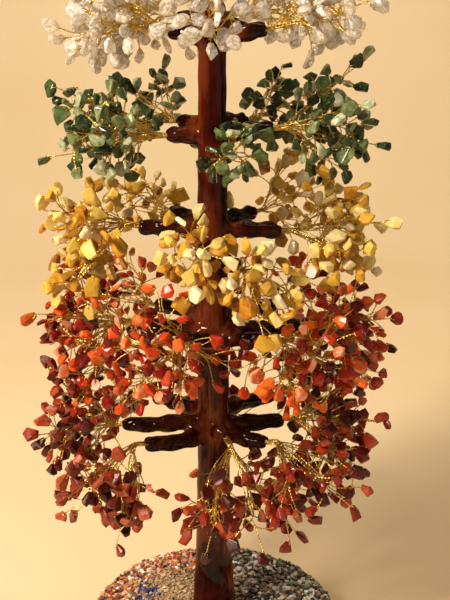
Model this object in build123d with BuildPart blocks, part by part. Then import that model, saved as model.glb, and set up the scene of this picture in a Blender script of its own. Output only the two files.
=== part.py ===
"""Gemstone tree ornament: stone chips on twisted brass wire, carried by lacquered branches.

Five tiers, each of one stone, grow from a straight trunk that stands in a gravel-covered base.
Lengths are in millimetres, +Z is up, and the origin is the centre of the underside.
Azimuths are in degrees: 0 is to the right, 90 is away from the viewer, 270 is towards the viewer.
"""

from build123d import *

import os
from collections import namedtuple
from random import Random

import numpy as np

# Base
base_radius = 98
base_rim_height = 32
base_crown = 6
base_edge_slope = 4
gravel_depth = 6
plinth_bare_edge = 4

# Trunk and the bundle of wire inside it
trunk_foot_radius = 17.4
trunk_ankle_radius = 14.4
trunk_waist_radius = 12.4
trunk_top_radius = 9.6
trunk_nose_radius = 3.6
trunk_nose_height = 9
trunk_ankle_height = 48
trunk_flare_height = 125
trunk_leader_height = 28
socket_depth = 14
core_radius = 4.5
core_socket_depth = 6
core_leader = 16
fit_clearance = 0.15

# Heights of the tiers: the lowest above the underside, the others above the tier below
jasper_height = 197
carnelian_rise = 80.5
yellow_jade_rise = 71
aventurine_rise = 68.5
quartz_rise = 70

# Branches
branch_reach = 62
branch_root_radius = 5.7
branch_shoulder_radius = 4.8
branch_tip_radius = 3
branch_nose_length = 13

# Brass wire: a stem of all wires, strands that leave it, and a stalk for each stone
stem_length = 10
stem_radius = 2.7
strand_length = 42
strand_radius = 1
stalk_length = 14
stalk_radius = 0.65
wire_gap = 0.15

# Stone chips, and the room that the layout keeps around wires and stones
stone_length = 10.6
stone_width = 8.9
stone_depth = 5.9
stone_room = 0.3
wire_room = 0.4

# Outlines of the chips as shares of width, depth and length, the drilled end first
petal_shares = (
    (-0.2, -0.22, 0), (0.2, -0.22, 0), (0, 0.26, 0),
    (-0.5, 0.05, 0.56), (0.08, -0.5, 0.46), (0.5, 0.1, 0.64), (-0.05, 0.5, 0.6),
    (0.02, -0.05, 1),
)
wedge_shares = (
    (-0.22, -0.2, 0), (0.24, -0.16, 0), (0, 0.28, 0),
    (-0.46, -0.34, 0.66), (0.5, -0.3, 0.5), (0.05, 0.5, 0.55),
    (-0.3, 0.1, 1), (0.32, 0.02, 0.9),
)
nugget_shares = (
    (-0.24, -0.24, 0), (0.2, -0.24, 0), (0, 0.24, 0),
    (-0.5, 0.12, 0.4), (0.44, -0.34, 0.56), (0.3, 0.46, 0.5),
    (-0.28, -0.3, 0.86), (0.02, 0.12, 1),
)
chip_shares = (petal_shares, wedge_shares, nugget_shares)

# Room that a chip takes: places along its length and girth there, as shares of length and width,
# and the step between the spheres along a wire, as a share of their radius
room_place_shares = (0.2, 0.5, 0.8)
room_girth_shares = (0.36, 0.5, 0.4)
sphere_step_share = 1.5

# Perches of the stones along a strand, and lengths of stalks and strands, as shares
perch_shares = (1, 0.82, 0.6, 0.38)
sparse_perch_shares = (1, 0.72, 0.44)
stalk_shares = (1, 0.72, 1.3)
strand_shares = (1, 0.8, 1.15)

# Angles, corners and counts
stalk_lean = 58
stalk_lean_spread = 14
trunk_corners = 12
branch_corners = 8
core_corners = 8
stem_corners = 5
strand_corners = 4
stalk_corners = 3
stalk_tries = 12
crown_strands = 5

# Places worked out from the driving sizes
carnelian_height = jasper_height + carnelian_rise
yellow_jade_height = carnelian_height + yellow_jade_rise
aventurine_height = yellow_jade_height + aventurine_rise
quartz_height = aventurine_height + quartz_rise
trunk_height = quartz_height + trunk_leader_height
plinth_radius = base_radius - gravel_depth
plinth_height = base_rim_height - gravel_depth
base_height = base_rim_height + base_crown
socket_floor = plinth_height - socket_depth
core_floor = socket_floor - core_socket_depth
core_height = trunk_height - core_leader
trunk_waist_height = base_height + trunk_flare_height

# One row for each tier: its stone, height, chip size as shares, and how wide its strands fan out
Tier = namedtuple("Tier", "stone height length_share width_share depth_share spread")
tiers = (
    Tier("jasper", jasper_height, 1, 0.92, 0.95, 54),
    Tier("carnelian", carnelian_height, 0.98, 0.98, 0.98, 56),
    Tier("yellow_jade", yellow_jade_height, 1.26, 1.2, 1.1, 48),
    Tier("aventurine", aventurine_height, 0.98, 1.08, 0.86, 44),
    Tier("quartz", quartz_height, 1.26, 1.14, 1.04, 40),
)

# One row for each branch: side, azimuth, rise, lift of its root in root radii, shares of reach and wire,
# tilt of its spray and count of its strands
Branch = namedtuple("Branch", "side azimuth rise lift_share reach_share wire_share tilt strands")
whorls = {
    "jasper": (
        Branch("left", 182, -2, 0.7, 1.12, 1.0, -6, 5),
        Branch("right", 358, 4, 0.3, 0.86, 1.2, -10, 5),
        Branch("front", 211, 3, -1, 0.94, 1.25, -50, 5),
        Branch("front", 330, 3, -1.2, 0.74, 1.25, -48, 5),
        Branch("front", 295, -28, 1.8, 0.42, 1.45, -62, 5),
        Branch("back", 45, -4, 1.7, 1.1, 0.84, -12, 4),
        Branch("back", 137, -5, 2, 1.08, 0.84, -12, 4),
    ),
    "carnelian": (
        Branch("left", 184, 4, -0.1, 0.92, 1.14, -8, 5),
        Branch("right", 356, 1, 0.1, 1.05, 1.0, -12, 5),
        Branch("front", 244, 8, -0.8, 0.62, 0.95, -8, 5),
        Branch("front", 330, 8, -1.9, 0.8, 0.95, -18, 5),
        Branch("back", 46, -4, 1.1, 1.12, 0.9, 0, 4),
        Branch("back", 134, -4, 1, 1.05, 0.9, 0, 4),
    ),
    "yellow_jade": (
        Branch("left", 180, 5, 0, 0.86, 1.1, -6, 5),
        Branch("right", 0, 0, 0.2, 0.8, 1.16, -2, 5),
        Branch("front", 256, 3, -1.4, 0.52, 0.6, 14, 4),
        Branch("front", 295, 0, -2.8, 0.7, 0.76, -1, 5),
        Branch("back", 50, 0, 1.3, 0.8, 0.9, 12, 4),
        Branch("back", 130, 0, 1.3, 0.8, 0.9, 12, 4),
    ),
    "aventurine": (
        Branch("left", 179, 2, 0, 0.52, 1.3, 2, 5),
        Branch("right", 2, 8, 0, 0.7, 1.12, -2, 5),
        Branch("front", 290, 2, -1.4, 0.42, 0.48, 20, 4),
        Branch("back", 50, 0, 1.4, 0.6, 0.9, 22, 4),
        Branch("back", 130, 0, 1.4, 0.6, 0.9, 22, 4),
    ),
    "quartz": (
        Branch("left", 179, 18, -1.2, 0.5, 1.1, 6, 5),
        Branch("right", 2, 16, -1.2, 0.62, 1.12, 18, 5),
        Branch("front", 268, 10, -0.8, 0.42, 0.46, 36, 4),
        Branch("back", 50, 6, 1.2, 0.6, 0.9, 18, 4),
        Branch("back", 130, 6, 1.2, 0.6, 0.9, 18, 4),
    ),
}
crown = Branch("crown", 0, 90, 0, 0, 0.85, 90, crown_strands)


def heading(azimuth, rise):
    """Unit vector at an azimuth and a rise, both in degrees."""
    turn, lift = np.radians((azimuth, rise))
    return np.array((np.cos(turn) * np.cos(lift), np.sin(turn) * np.cos(lift), np.sin(lift)))


def leaned(axis, lean, turn):
    """Unit vector that leans off an axis by one angle and is turned about it by another."""
    upright = np.array((0.0, 0.0, 1.0)) if abs(axis[2]) < 0.9 else np.array((1.0, 0.0, 0.0))
    across = np.cross(axis, upright)
    across /= np.linalg.norm(across)
    lean, turn = np.radians((lean, turn))
    ring = across * np.cos(turn) + np.cross(across, axis) * np.sin(turn)
    return axis * np.cos(lean) + ring * np.sin(lean)


class Room:
    """Spheres along every piece laid out so far, which keep the next piece clear of them."""

    def __init__(self):
        self.centres = np.empty((0, 3))
        self.radii = np.empty(0)

    def take(self, centres, radii):
        """Keep the spheres of a piece that stays."""
        self.centres = np.vstack((self.centres, centres))
        self.radii = np.append(self.radii, radii)

    def is_free(self, centres, radii, gap):
        """True where the spheres lie at least a gap from all that are kept."""
        apart = np.linalg.norm(centres[:, None, :] - self.centres[None, :, :], axis=2)
        return bool(np.all(apart > radii[:, None] + self.radii[None, :] + gap))


def spheres(start, end, radius):
    """Spheres of one radius in a row along a straight run."""
    count = int(np.ceil(np.linalg.norm(end - start) / (sphere_step_share * radius))) + 1
    return np.linspace(start, end, count), np.full(count, radius)


# The layout: every run of wire and every stone finds its place clear of the ones before it
Run = namedtuple("Run", "start direction length roll")
room = Room()
layouts = {}


def lay_strands(layout, tier, branch, hub, stem_axis, draw):
    """Fan the strands of a spray out of the end of its stem, each where it has room."""
    spray_axis = heading(branch.azimuth, branch.tilt)
    phase = draw.uniform(0, 360)
    placed = []
    for index in range(branch.strands):
        lean = tier.spread * np.sqrt((2 * index % branch.strands + 0.5) / branch.strands)
        turn = phase + index * 360 / branch.strands
        direction = leaned(spray_axis, lean, turn)
        slope = np.linalg.norm(np.cross(stem_axis, direction))
        start = hub + leaned(stem_axis, 90, turn) * (stem_radius - strand_radius)
        start = start + stem_axis * (strand_radius * slope + wire_gap)
        length = strand_length * branch.wire_share * strand_shares[index % len(strand_shares)]
        run = Run(start, direction, length, draw.uniform(0, 360))
        guard = spheres(start + direction * 2 * stem_radius, start + direction * length, strand_radius)
        if room.is_free(*guard, wire_room):
            room.take(*guard)
            placed.append(run)
    layout["strands"] += placed
    return placed


def lay_stone(layout, tier, branch, strand, perch_share, draw):
    """Hang one stone on a strand: at its end in line with it, or off its side on a leaning stalk."""
    length = stone_length * tier.length_share
    width = stone_width * tier.width_share
    perch = strand.start + strand.direction * strand.length * perch_share
    for attempt in range(stalk_tries):
        run_length = stalk_length * branch.wire_share * stalk_shares[attempt % len(stalk_shares)]
        if perch_share == 1:
            direction = strand.direction
            start = perch + direction * wire_gap
        else:
            lean = stalk_lean + draw.uniform(-stalk_lean_spread, stalk_lean_spread)
            direction = leaned(strand.direction, lean, draw.uniform(0, 360))
            slope = np.sin(np.radians(lean))
            start = perch + direction * (strand_radius + stalk_radius + wire_gap) / slope
        seat = start + direction * run_length
        chip = (
            seat + np.outer(room_place_shares, direction) * length,
            np.array(room_girth_shares) * width,
        )
        guard = spheres(start + direction * 2 * strand_radius, seat, stalk_radius)
        above_base = seat[2] > base_height + stone_length
        if above_base and room.is_free(*chip, stone_room) and room.is_free(*guard, wire_room):
            room.take(*chip)
            room.take(*guard)
            layout["stalks"].append(Run(start, direction, run_length, draw.uniform(0, 360)))
            layout["stones"].append(Run(seat, direction, length, draw.uniform(0, 360)))
            return


def lay_spray(tier, branch, tip, stem_axis, seed):
    """Lay out one spray on a tip: its stem, its strands and the stones on them."""
    draw = Random(seed)
    node = f"{tier.stone}_{branch.side}"
    layout = layouts.setdefault(node, {"stems": [], "strands": [], "stalks": [], "stones": []})
    layout["stems"].append(Run(tip, stem_axis, stem_length, 0))
    hub = tip + stem_axis * stem_length
    room.take(*spheres(tip, hub, stem_radius))
    strands = lay_strands(layout, tier, branch, hub, stem_axis, draw)
    for perch_share in sparse_perch_shares if branch.side in ("back", "crown") else perch_shares:
        for strand in strands:
            lay_stone(layout, tier, branch, strand, perch_share, draw)


crown_tip = np.array((0, 0, trunk_height))
room.take(*spheres(np.array((0, 0, base_height)), crown_tip, trunk_waist_radius))
boughs = []
for tier in tiers:
    for branch in whorls[tier.stone]:
        direction = heading(branch.azimuth, branch.rise)
        root = np.array((0, 0, tier.height + branch_root_radius * branch.lift_share))
        reach = branch_reach * branch.reach_share
        boughs.append((tier, branch, Run(root, direction, reach, 0)))
        room.take(*spheres(root, root + direction * (reach - branch_nose_length), branch_root_radius))
for seed, (tier, branch, bough) in enumerate(boughs):
    lay_spray(tier, branch, bough.start + bough.direction * bough.length, bough.direction, seed)
lay_spray(tiers[-1], crown, crown_tip, heading(crown.azimuth, crown.rise), len(boughs))


def seated(run):
    """Location of a run: on its start, facing along it and rolled about it."""
    x_dir = leaned(run.direction, 90, run.roll)
    return Plane(tuple(run.start), x_dir=tuple(x_dir), z_dir=tuple(run.direction)).location


def ring(radius, height, corners):
    """Corners of a level polygon around the Z axis."""
    turns = np.linspace(0, 2 * np.pi, corners, endpoint=False)
    return [(radius * np.cos(turn), radius * np.sin(turn), height) for turn in turns]


def column(radius, low, high, corners):
    """Corners of an upright column of wrapped wire, which shows its strands as flats."""
    return ring(radius, low, corners) + ring(radius, high, corners)


# Base: a plinth with a socket for the trunk, under a heap of gravel that covers its top and side
trunk_socket = column(trunk_foot_radius + fit_clearance, socket_floor, base_height, trunk_corners)
core_socket = column(core_radius + fit_clearance, core_floor, base_height, core_corners)
with BuildPart() as base_plinth:
    with BuildSketch(Plane.XY):
        Circle(plinth_radius)
    extrude(amount=plinth_height)
    ConvexPolyhedron(trunk_socket, mode=Mode.SUBTRACT)
    ConvexPolyhedron(core_socket, mode=Mode.SUBTRACT)

with BuildPart() as gravel_bed:
    with BuildSketch(Plane.XZ):
        with BuildLine():
            Polyline(
                (0, plinth_height),
                (plinth_radius, plinth_height),
                (plinth_radius, plinth_bare_edge),
                (base_radius, plinth_bare_edge),
                (base_radius, base_rim_height - base_edge_slope),
                (base_radius - base_edge_slope, base_rim_height),
                (0, base_height),
                close=True,
            )
        make_face()
    revolve(axis=Axis.Z)
    ConvexPolyhedron(trunk_socket, mode=Mode.SUBTRACT)

# Trunk: a tapered lacquered sheath that flares at the foot, over its core of wire
trunk_profile = (
    (trunk_foot_radius, socket_floor),
    (trunk_foot_radius, base_height),
    (trunk_ankle_radius, base_height + trunk_ankle_height),
    (trunk_waist_radius, trunk_waist_height),
    (trunk_top_radius, trunk_height - trunk_nose_height),
    (trunk_nose_radius, trunk_height),
)
with BuildPart() as trunk_blank:
    for lower, upper in zip(trunk_profile, trunk_profile[1:]):
        ConvexPolyhedron(ring(*lower, trunk_corners) + ring(*upper, trunk_corners))

with BuildPart() as trunk:
    add(trunk_blank.part)
    core_bore = column(core_radius + fit_clearance, socket_floor, core_height, core_corners)
    ConvexPolyhedron(core_bore, mode=Mode.SUBTRACT)

with BuildPart() as trunk_core:
    ConvexPolyhedron(column(core_radius, core_floor, core_height, core_corners))

pieces = {
    "base_plinth": base_plinth,
    "gravel_bed": gravel_bed,
    "trunk": trunk,
    "trunk_core": trunk_core,
}

# Branches: each is coped to the trunk and ends in the flat tip that its wires leave
for tier in tiers:
    with BuildPart() as branches:
        for bough in (bough for owner, _, bough in boughs if owner is tier):
            spindle = (
                ring(branch_root_radius, 0, branch_corners)
                + ring(branch_shoulder_radius, bough.length - branch_nose_length, branch_corners)
                + ring(branch_tip_radius, bough.length, branch_corners)
            )
            with Locations(seated(bough)):
                ConvexPolyhedron(spindle)
        add(trunk_blank.part, mode=Mode.SUBTRACT)
    pieces[f"{tier.stone}_branches"] = branches


def rod(radius, length, corners):
    """Straight run of wire that stands on its start."""
    with BuildPart() as blank:
        with BuildSketch(Plane.XY):
            RegularPolygon(radius, corners)
        extrude(amount=length)
    return blank.part


def chip(tier, shares):
    """Faceted stone chip that stands on its drilled end."""
    width = stone_width * tier.width_share
    depth = stone_depth * tier.depth_share
    length = stone_length * tier.length_share
    with BuildPart() as blank:
        ConvexPolyhedron([(width * x, depth * y, length * z) for x, y, z in shares])
    return blank.part


# Wires and stones of each side of each tier
wire_kinds = (
    ("stems", stem_radius, stem_corners),
    ("strands", strand_radius, strand_corners),
    ("stalks", stalk_radius, stalk_corners),
)
for tier in tiers:
    chips = [chip(tier, shares) for shares in chip_shares]
    for node, layout in layouts.items():
        if not node.startswith(tier.stone):
            continue
        with BuildPart() as wires:
            for kind, radius, corners in wire_kinds:
                for length in sorted({run.length for run in layout[kind]}):
                    with Locations(*(seated(run) for run in layout[kind] if run.length == length)):
                        add(rod(radius, length, corners), clean=False)
        pieces[f"{node}_wires"] = wires
        with BuildPart() as stones:
            for index, blank in enumerate(chips):
                with Locations(*map(seated, layout["stones"][index :: len(chips)])):
                    add(blank, clean=False)
        pieces[f"{node}_stones"] = stones

os.makedirs("parts", exist_ok=True)
for name, piece in pieces.items():
    piece.part.label = name
    export_step(piece.part, f"parts/{name}.step")
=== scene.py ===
"""Gemstone tree ornament: the visible surfaces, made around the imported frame.

The frame holds every branch, wire run and stone as a plain solid. This script reads where they are and puts
lacquer, twisted brass wire, tumbled chips and loose gravel in their places. Lengths are in metres, and MM
turns millimetres into them. X points to the right, Y away from the camera and Z up.
"""

import logging
import math
from dataclasses import dataclass, field, replace
from enum import Enum
from typing import Any

import bmesh
import bpy
import numpy as np
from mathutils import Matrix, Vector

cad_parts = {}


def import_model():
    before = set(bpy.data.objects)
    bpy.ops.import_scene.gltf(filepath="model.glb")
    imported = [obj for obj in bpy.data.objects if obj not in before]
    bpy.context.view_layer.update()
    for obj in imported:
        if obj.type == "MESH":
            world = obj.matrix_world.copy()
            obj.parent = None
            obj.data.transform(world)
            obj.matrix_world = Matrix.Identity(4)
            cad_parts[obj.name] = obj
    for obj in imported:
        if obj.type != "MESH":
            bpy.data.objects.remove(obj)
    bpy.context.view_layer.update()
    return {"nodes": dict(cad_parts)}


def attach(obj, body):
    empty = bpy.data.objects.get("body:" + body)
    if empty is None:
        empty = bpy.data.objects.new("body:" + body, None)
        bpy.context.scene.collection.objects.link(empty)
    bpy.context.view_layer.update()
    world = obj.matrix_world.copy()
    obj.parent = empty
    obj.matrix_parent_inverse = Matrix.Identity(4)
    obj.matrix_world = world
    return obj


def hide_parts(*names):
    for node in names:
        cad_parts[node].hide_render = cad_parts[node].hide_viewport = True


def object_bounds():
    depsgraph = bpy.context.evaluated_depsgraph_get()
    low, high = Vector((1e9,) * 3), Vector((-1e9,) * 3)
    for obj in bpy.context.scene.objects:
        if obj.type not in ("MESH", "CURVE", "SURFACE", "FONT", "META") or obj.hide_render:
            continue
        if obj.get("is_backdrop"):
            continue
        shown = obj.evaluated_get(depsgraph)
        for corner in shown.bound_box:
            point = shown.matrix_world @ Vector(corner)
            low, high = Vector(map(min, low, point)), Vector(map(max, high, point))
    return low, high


LOG = logging.getLogger("gemstone_tree")
BODY = "root"
MM = 0.001
WELD = 0.005 * MM
HEIGHT_DIGITS = 5
UV_MAP = "OFBake"
MARK = "stone_mark"
TURN = 2 * math.pi
CLOUD_MIDDLE = 0.5

# Z part from which a unit direction counts as steep
STEEP = 0.9

# Where two spheres that stand for a stone lie along its length
SPHERE_SHARES = (0.3, 0.72)

# The curve between a colour as a screen shows it and linear light
BYTE_TOP = 255
TOE_END = 0.04
TOE_SLOPE = 12.92
CURVE_OFFSET = 0.055
CURVE_POWER = 2.4

Pair = tuple[float, float]
Triple = tuple[float, float, float]
Stops = tuple[tuple[float, str], ...]
Swept = tuple[np.ndarray, np.ndarray, np.ndarray]


def paint(code: str) -> Triple:
    """Turns a colour as a screen shows it into the linear light that shaders work in.

    Args:
        code: Six hexadecimal digits.

    Returns:
        Red, green and blue from 0 to 1.
    """
    shown = [part / BYTE_TOP for part in bytes.fromhex(code)]
    curved = [((part + CURVE_OFFSET) / (1 + CURVE_OFFSET)) ** CURVE_POWER for part in shown]
    return tuple(lit if part > TOE_END else part / TOE_SLOPE for part, lit in zip(shown, curved))


def unit(way: np.ndarray) -> np.ndarray:
    """Scales vectors, the last axis of an array, to length 1."""
    return way / np.linalg.norm(way, axis=-1, keepdims=True)


def eased(share: np.ndarray) -> np.ndarray:
    """Smooth step from 0 to 1 as a share goes from 0 to 1."""
    held = np.clip(share, 0, 1)
    return held * held * (3 - 2 * held)


def square_to(way: np.ndarray, turn: float) -> np.ndarray:
    """Finds a direction square to another.

    Args:
        way: Unit direction.
        turn: Angle about it, in radians.

    Returns:
        A unit direction at that angle.
    """
    spare = np.array((0.0, 0.0, 1.0)) if abs(way[2]) < STEEP else np.array((1.0, 0.0, 0.0))
    first = unit(np.cross(way, spare))
    return math.cos(turn) * first + math.sin(turn) * np.cross(way, first)


def arched(
    start: np.ndarray, leave: np.ndarray, end: np.ndarray, arrive: np.ndarray, count: int
) -> np.ndarray:
    """Draws a smooth arc between two points.

    Args:
        start: First point.
        leave: Direction and pull at the first point.
        end: Last point.
        arrive: Direction and pull at the last point.
        count: Number of points.

    Returns:
        The points of the arc.
    """
    along = np.linspace(0, 1, count)[:, None]
    square, cube = along**2, along**3
    points = (2 * cube - 3 * square + 1) * start + (cube - 2 * square + along) * leave
    return points + (3 * square - 2 * cube) * end + (cube - square) * arrive


class Tier(Enum):
    """Stone of each tier, from the ground up, as the frame names it."""

    JASPER = "jasper"
    CARNELIAN = "carnelian"
    YELLOW_JADE = "yellow_jade"
    AVENTURINE = "aventurine"
    QUARTZ = "quartz"


class Side(Enum):
    """Side of the tree that a spray grows on."""

    LEFT = "left"
    RIGHT = "right"
    FRONT = "front"
    BACK = "back"
    CROWN = "crown"


class RunKind(Enum):
    """Kinds of wire run in the frame, told apart by their count of corner points."""

    STEM = 10
    STRAND = 8
    STALK = 6


class Value:
    """A number in a node tree. Sums and products of it add Math nodes."""

    def __init__(self, finish: "FinishTree", socket: bpy.types.NodeSocket) -> None:
        """Wraps an output socket of a finish."""
        self.finish = finish
        self.socket = socket

    def _maths(self, operation: str, first: Any, second: Any) -> "Value":
        """Adds one Math node on two values."""
        return self.finish.add("ShaderNodeMath", {"operation": operation}, {0: first, 1: second})

    def __add__(self, other: Any) -> "Value":
        """Sum of this value and another."""
        return self._maths("ADD", self, other)

    def __radd__(self, other: Any) -> "Value":
        """Sum with this value on the right."""
        return self._maths("ADD", other, self)

    def __sub__(self, other: Any) -> "Value":
        """This value less another."""
        return self._maths("SUBTRACT", self, other)

    def __rsub__(self, other: Any) -> "Value":
        """Another value less this one."""
        return self._maths("SUBTRACT", other, self)

    def __mul__(self, other: Any) -> "Value":
        """Product of this value and another."""
        return self._maths("MULTIPLY", self, other)

    def __rmul__(self, other: Any) -> "Value":
        """Product with this value on the right."""
        return self._maths("MULTIPLY", other, self)


class FinishTree:
    """The node tree of one material."""

    def __init__(self, name: str) -> None:
        """Starts a material with its Principled shader."""
        self.material = bpy.data.materials.new(name)
        self.material.use_nodes = True
        self.tree = self.material.node_tree
        self.shader = next(node for node in self.tree.nodes if node.type == "BSDF_PRINCIPLED")

    def add(
        self,
        kind: str,
        settings: dict[str, Any] | None = None,
        inputs: dict[int | str, Any] | None = None,
        output: int | str = 0,
    ) -> Value:
        """Adds a node.

        Args:
            kind: Type of the node.
            settings: Its own settings, with the stops of a ramp under "stops".
            inputs: Numbers, colours or values for its sockets, by name or place.
            output: The socket that is handed on.

        Returns:
            That output as a value.
        """
        node = self.tree.nodes.new(kind)
        for key, setting in (settings or {}).items():
            if key == "stops":
                self._set_stops(node.color_ramp, setting)
            else:
                setattr(node, key, setting)
        for key, value in (inputs or {}).items():
            self._feed(node.inputs[key], value)
        return Value(self, node.outputs[output])

    def dress(self, sockets: dict[str, Any]) -> bpy.types.Material:
        """Feeds the shader.

        Args:
            sockets: Numbers, colours or values for the shader's sockets.

        Returns:
            The finished material.
        """
        for key, value in sockets.items():
            self._feed(self.shader.inputs[key], value)
        return self.material

    def cloud(self, size: float, detail: float = 3.0, stretch: Triple = (1, 1, 1)) -> Value:
        """Soft noise over the surface.

        Args:
            size: Size of its clouds.
            detail: Finer layers within them.
            stretch: How much shorter they are along X, Y and Z.

        Returns:
            A value from 0 to 1 that is mostly near a half.
        """
        place = self.add("ShaderNodeTexCoord", output="Object")
        if stretch != (1, 1, 1):
            place = self.add("ShaderNodeMapping", inputs={"Vector": place, "Scale": stretch})
        return self.add("ShaderNodeTexNoise", inputs={"Vector": place, "Scale": 1 / size, "Detail": detail})

    def ramp(self, share: Value, stops: Stops) -> Value:
        """Colours a share.

        Args:
            share: Value from 0 to 1.
            stops: Places on the ramp with their colours.

        Returns:
            The colour at that share.
        """
        return self.add("ShaderNodeValToRGB", {"stops": stops}, {"Fac": share})

    def mask(self, share: Value, edges: Pair) -> Value:
        """Sharpens a share: black up to the first edge, white from the second on."""
        return self.ramp(share, tuple(zip(edges, ("000000", "ffffff"))))

    def ranged(self, value: Value, edges: Pair, ends: Pair) -> Value:
        """Runs evenly from one result to another while a value goes between two edges.

        Args:
            value: The value.
            edges: Where the run starts and where it stops.
            ends: Results there and beyond.

        Returns:
            The result.
        """
        inputs = {"Value": value, 1: edges[0], 2: edges[1], 3: ends[0], 4: ends[1]}
        return self.add("ShaderNodeMapRange", inputs=inputs)

    def mixed(self, share: Any, first: Any, second: Any) -> Value:
        """Mixes two colours.

        Args:
            share: How much of the second shows.
            first: Colour at share 0.
            second: Colour at share 1.

        Returns:
            The mixed colour.
        """
        return self.add("ShaderNodeMix", {"data_type": "RGBA"}, {0: share, 6: first, 7: second}, 2)

    def lit(self, colour: Value, strength: Value) -> Value:
        """Makes a colour lighter or darker by a value around 1."""
        return self.add("ShaderNodeHueSaturation", inputs={"Value": strength, "Color": colour})

    def bumped(self, height: Value, depth: float, strength: float) -> Value:
        """Normal of a surface with small heights.

        Args:
            height: Height from 0 to 1.
            depth: What a height of 1 stands for.
            strength: How much of it shows.

        Returns:
            The normal.
        """
        return self.add("ShaderNodeBump", inputs={"Strength": strength, "Distance": depth, "Height": height})

    def _feed(self, socket: bpy.types.NodeSocket, value: Any) -> None:
        """Links a value to a socket, or sets the socket."""
        if isinstance(value, Value):
            self.tree.links.new(value.socket, socket)
        elif socket.type == "RGBA" and len(value) == 3:
            socket.default_value = (*value, 1)
        else:
            socket.default_value = value

    @staticmethod
    def _set_stops(ramp: bpy.types.ColorRamp, stops: Stops) -> None:
        """Puts the stops of a ramp in place."""
        while len(ramp.elements) < len(stops):
            ramp.elements.new(1)
        for element, (place, code) in zip(ramp.elements, stops):
            element.position = place
            element.color = (*paint(code), 1)


@dataclass(frozen=True)
class StoneFinish:
    """Polished stone whose chips differ in tone and carry clouds and specks."""

    stops: Stops
    cloud_reach: float
    cloud_size: float
    gloss: float
    gloss_spread: float = 0.14
    light_share: float = 0.5
    glow: float = 0.0
    glow_reach: float = 2 * MM
    glow_ways: Triple = (1.0, 0.5, 0.25)
    clear: float = 0.0
    shine: float = 0.3
    coat: float = 0.06
    coat_gloss: float = 0.08
    fleck: str = "2a1410"
    fleck_share: float = 0.0
    fleck_size: float = 1.6 * MM
    fleck_detail: float = 2.0
    fleck_edges: Pair = (0.58, 0.68)
    veil_shares: Pair = (1.0, 1.0)
    veil_edges: Pair = (0.4, 0.6)
    veil_size: float = 3 * MM
    dent_size: float = 1.4 * MM
    dent_depth: float = 0.12 * MM
    dent_strength: float = 0.6
    index: float = 1.54

    def material(self, name: str) -> bpy.types.Material:
        """Makes the stone.

        Args:
            name: Name of the material.

        Returns:
            The material.
        """
        finish = FinishTree(name)
        mark = finish.add("ShaderNodeAttribute", {"attribute_name": MARK}, output="Color")
        tone, light = (
            finish.add("ShaderNodeSeparateColor", inputs={"Color": mark}, output=part)
            for part in ("Red", "Green")
        )
        cloud = finish.cloud(self.cloud_size)
        colour = finish.ramp(tone + (cloud - CLOUD_MIDDLE) * self.cloud_reach, self.stops)
        if self.fleck_share:
            specks = finish.mask(finish.cloud(self.fleck_size, self.fleck_detail), self.fleck_edges)
            colour = finish.mixed(specks * self.fleck_share, colour, paint(self.fleck))
        colour = finish.lit(colour, light * self.light_share + (1 - self.light_share / 2))
        dents = finish.cloud(self.dent_size)
        body = 1.0
        if self.veil_shares[0] < 1:
            body = finish.ranged(finish.cloud(self.veil_size), self.veil_edges, self.veil_shares)
        return finish.dress(
            {
                "Base Color": colour,
                "Alpha": body,
                "Roughness": self.gloss + cloud * self.gloss_spread - self.gloss_spread / 2,
                "Normal": finish.bumped(dents, self.dent_depth, self.dent_strength),
                "IOR": self.index,
                "Specular IOR Level": self.shine,
                "Subsurface Weight": self.glow,
                "Subsurface Radius": self.glow_ways,
                "Subsurface Scale": self.glow_reach,
                "Transmission Weight": self.clear,
                "Coat Weight": self.coat,
                "Coat Roughness": self.coat_gloss,
            }
        )


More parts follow.
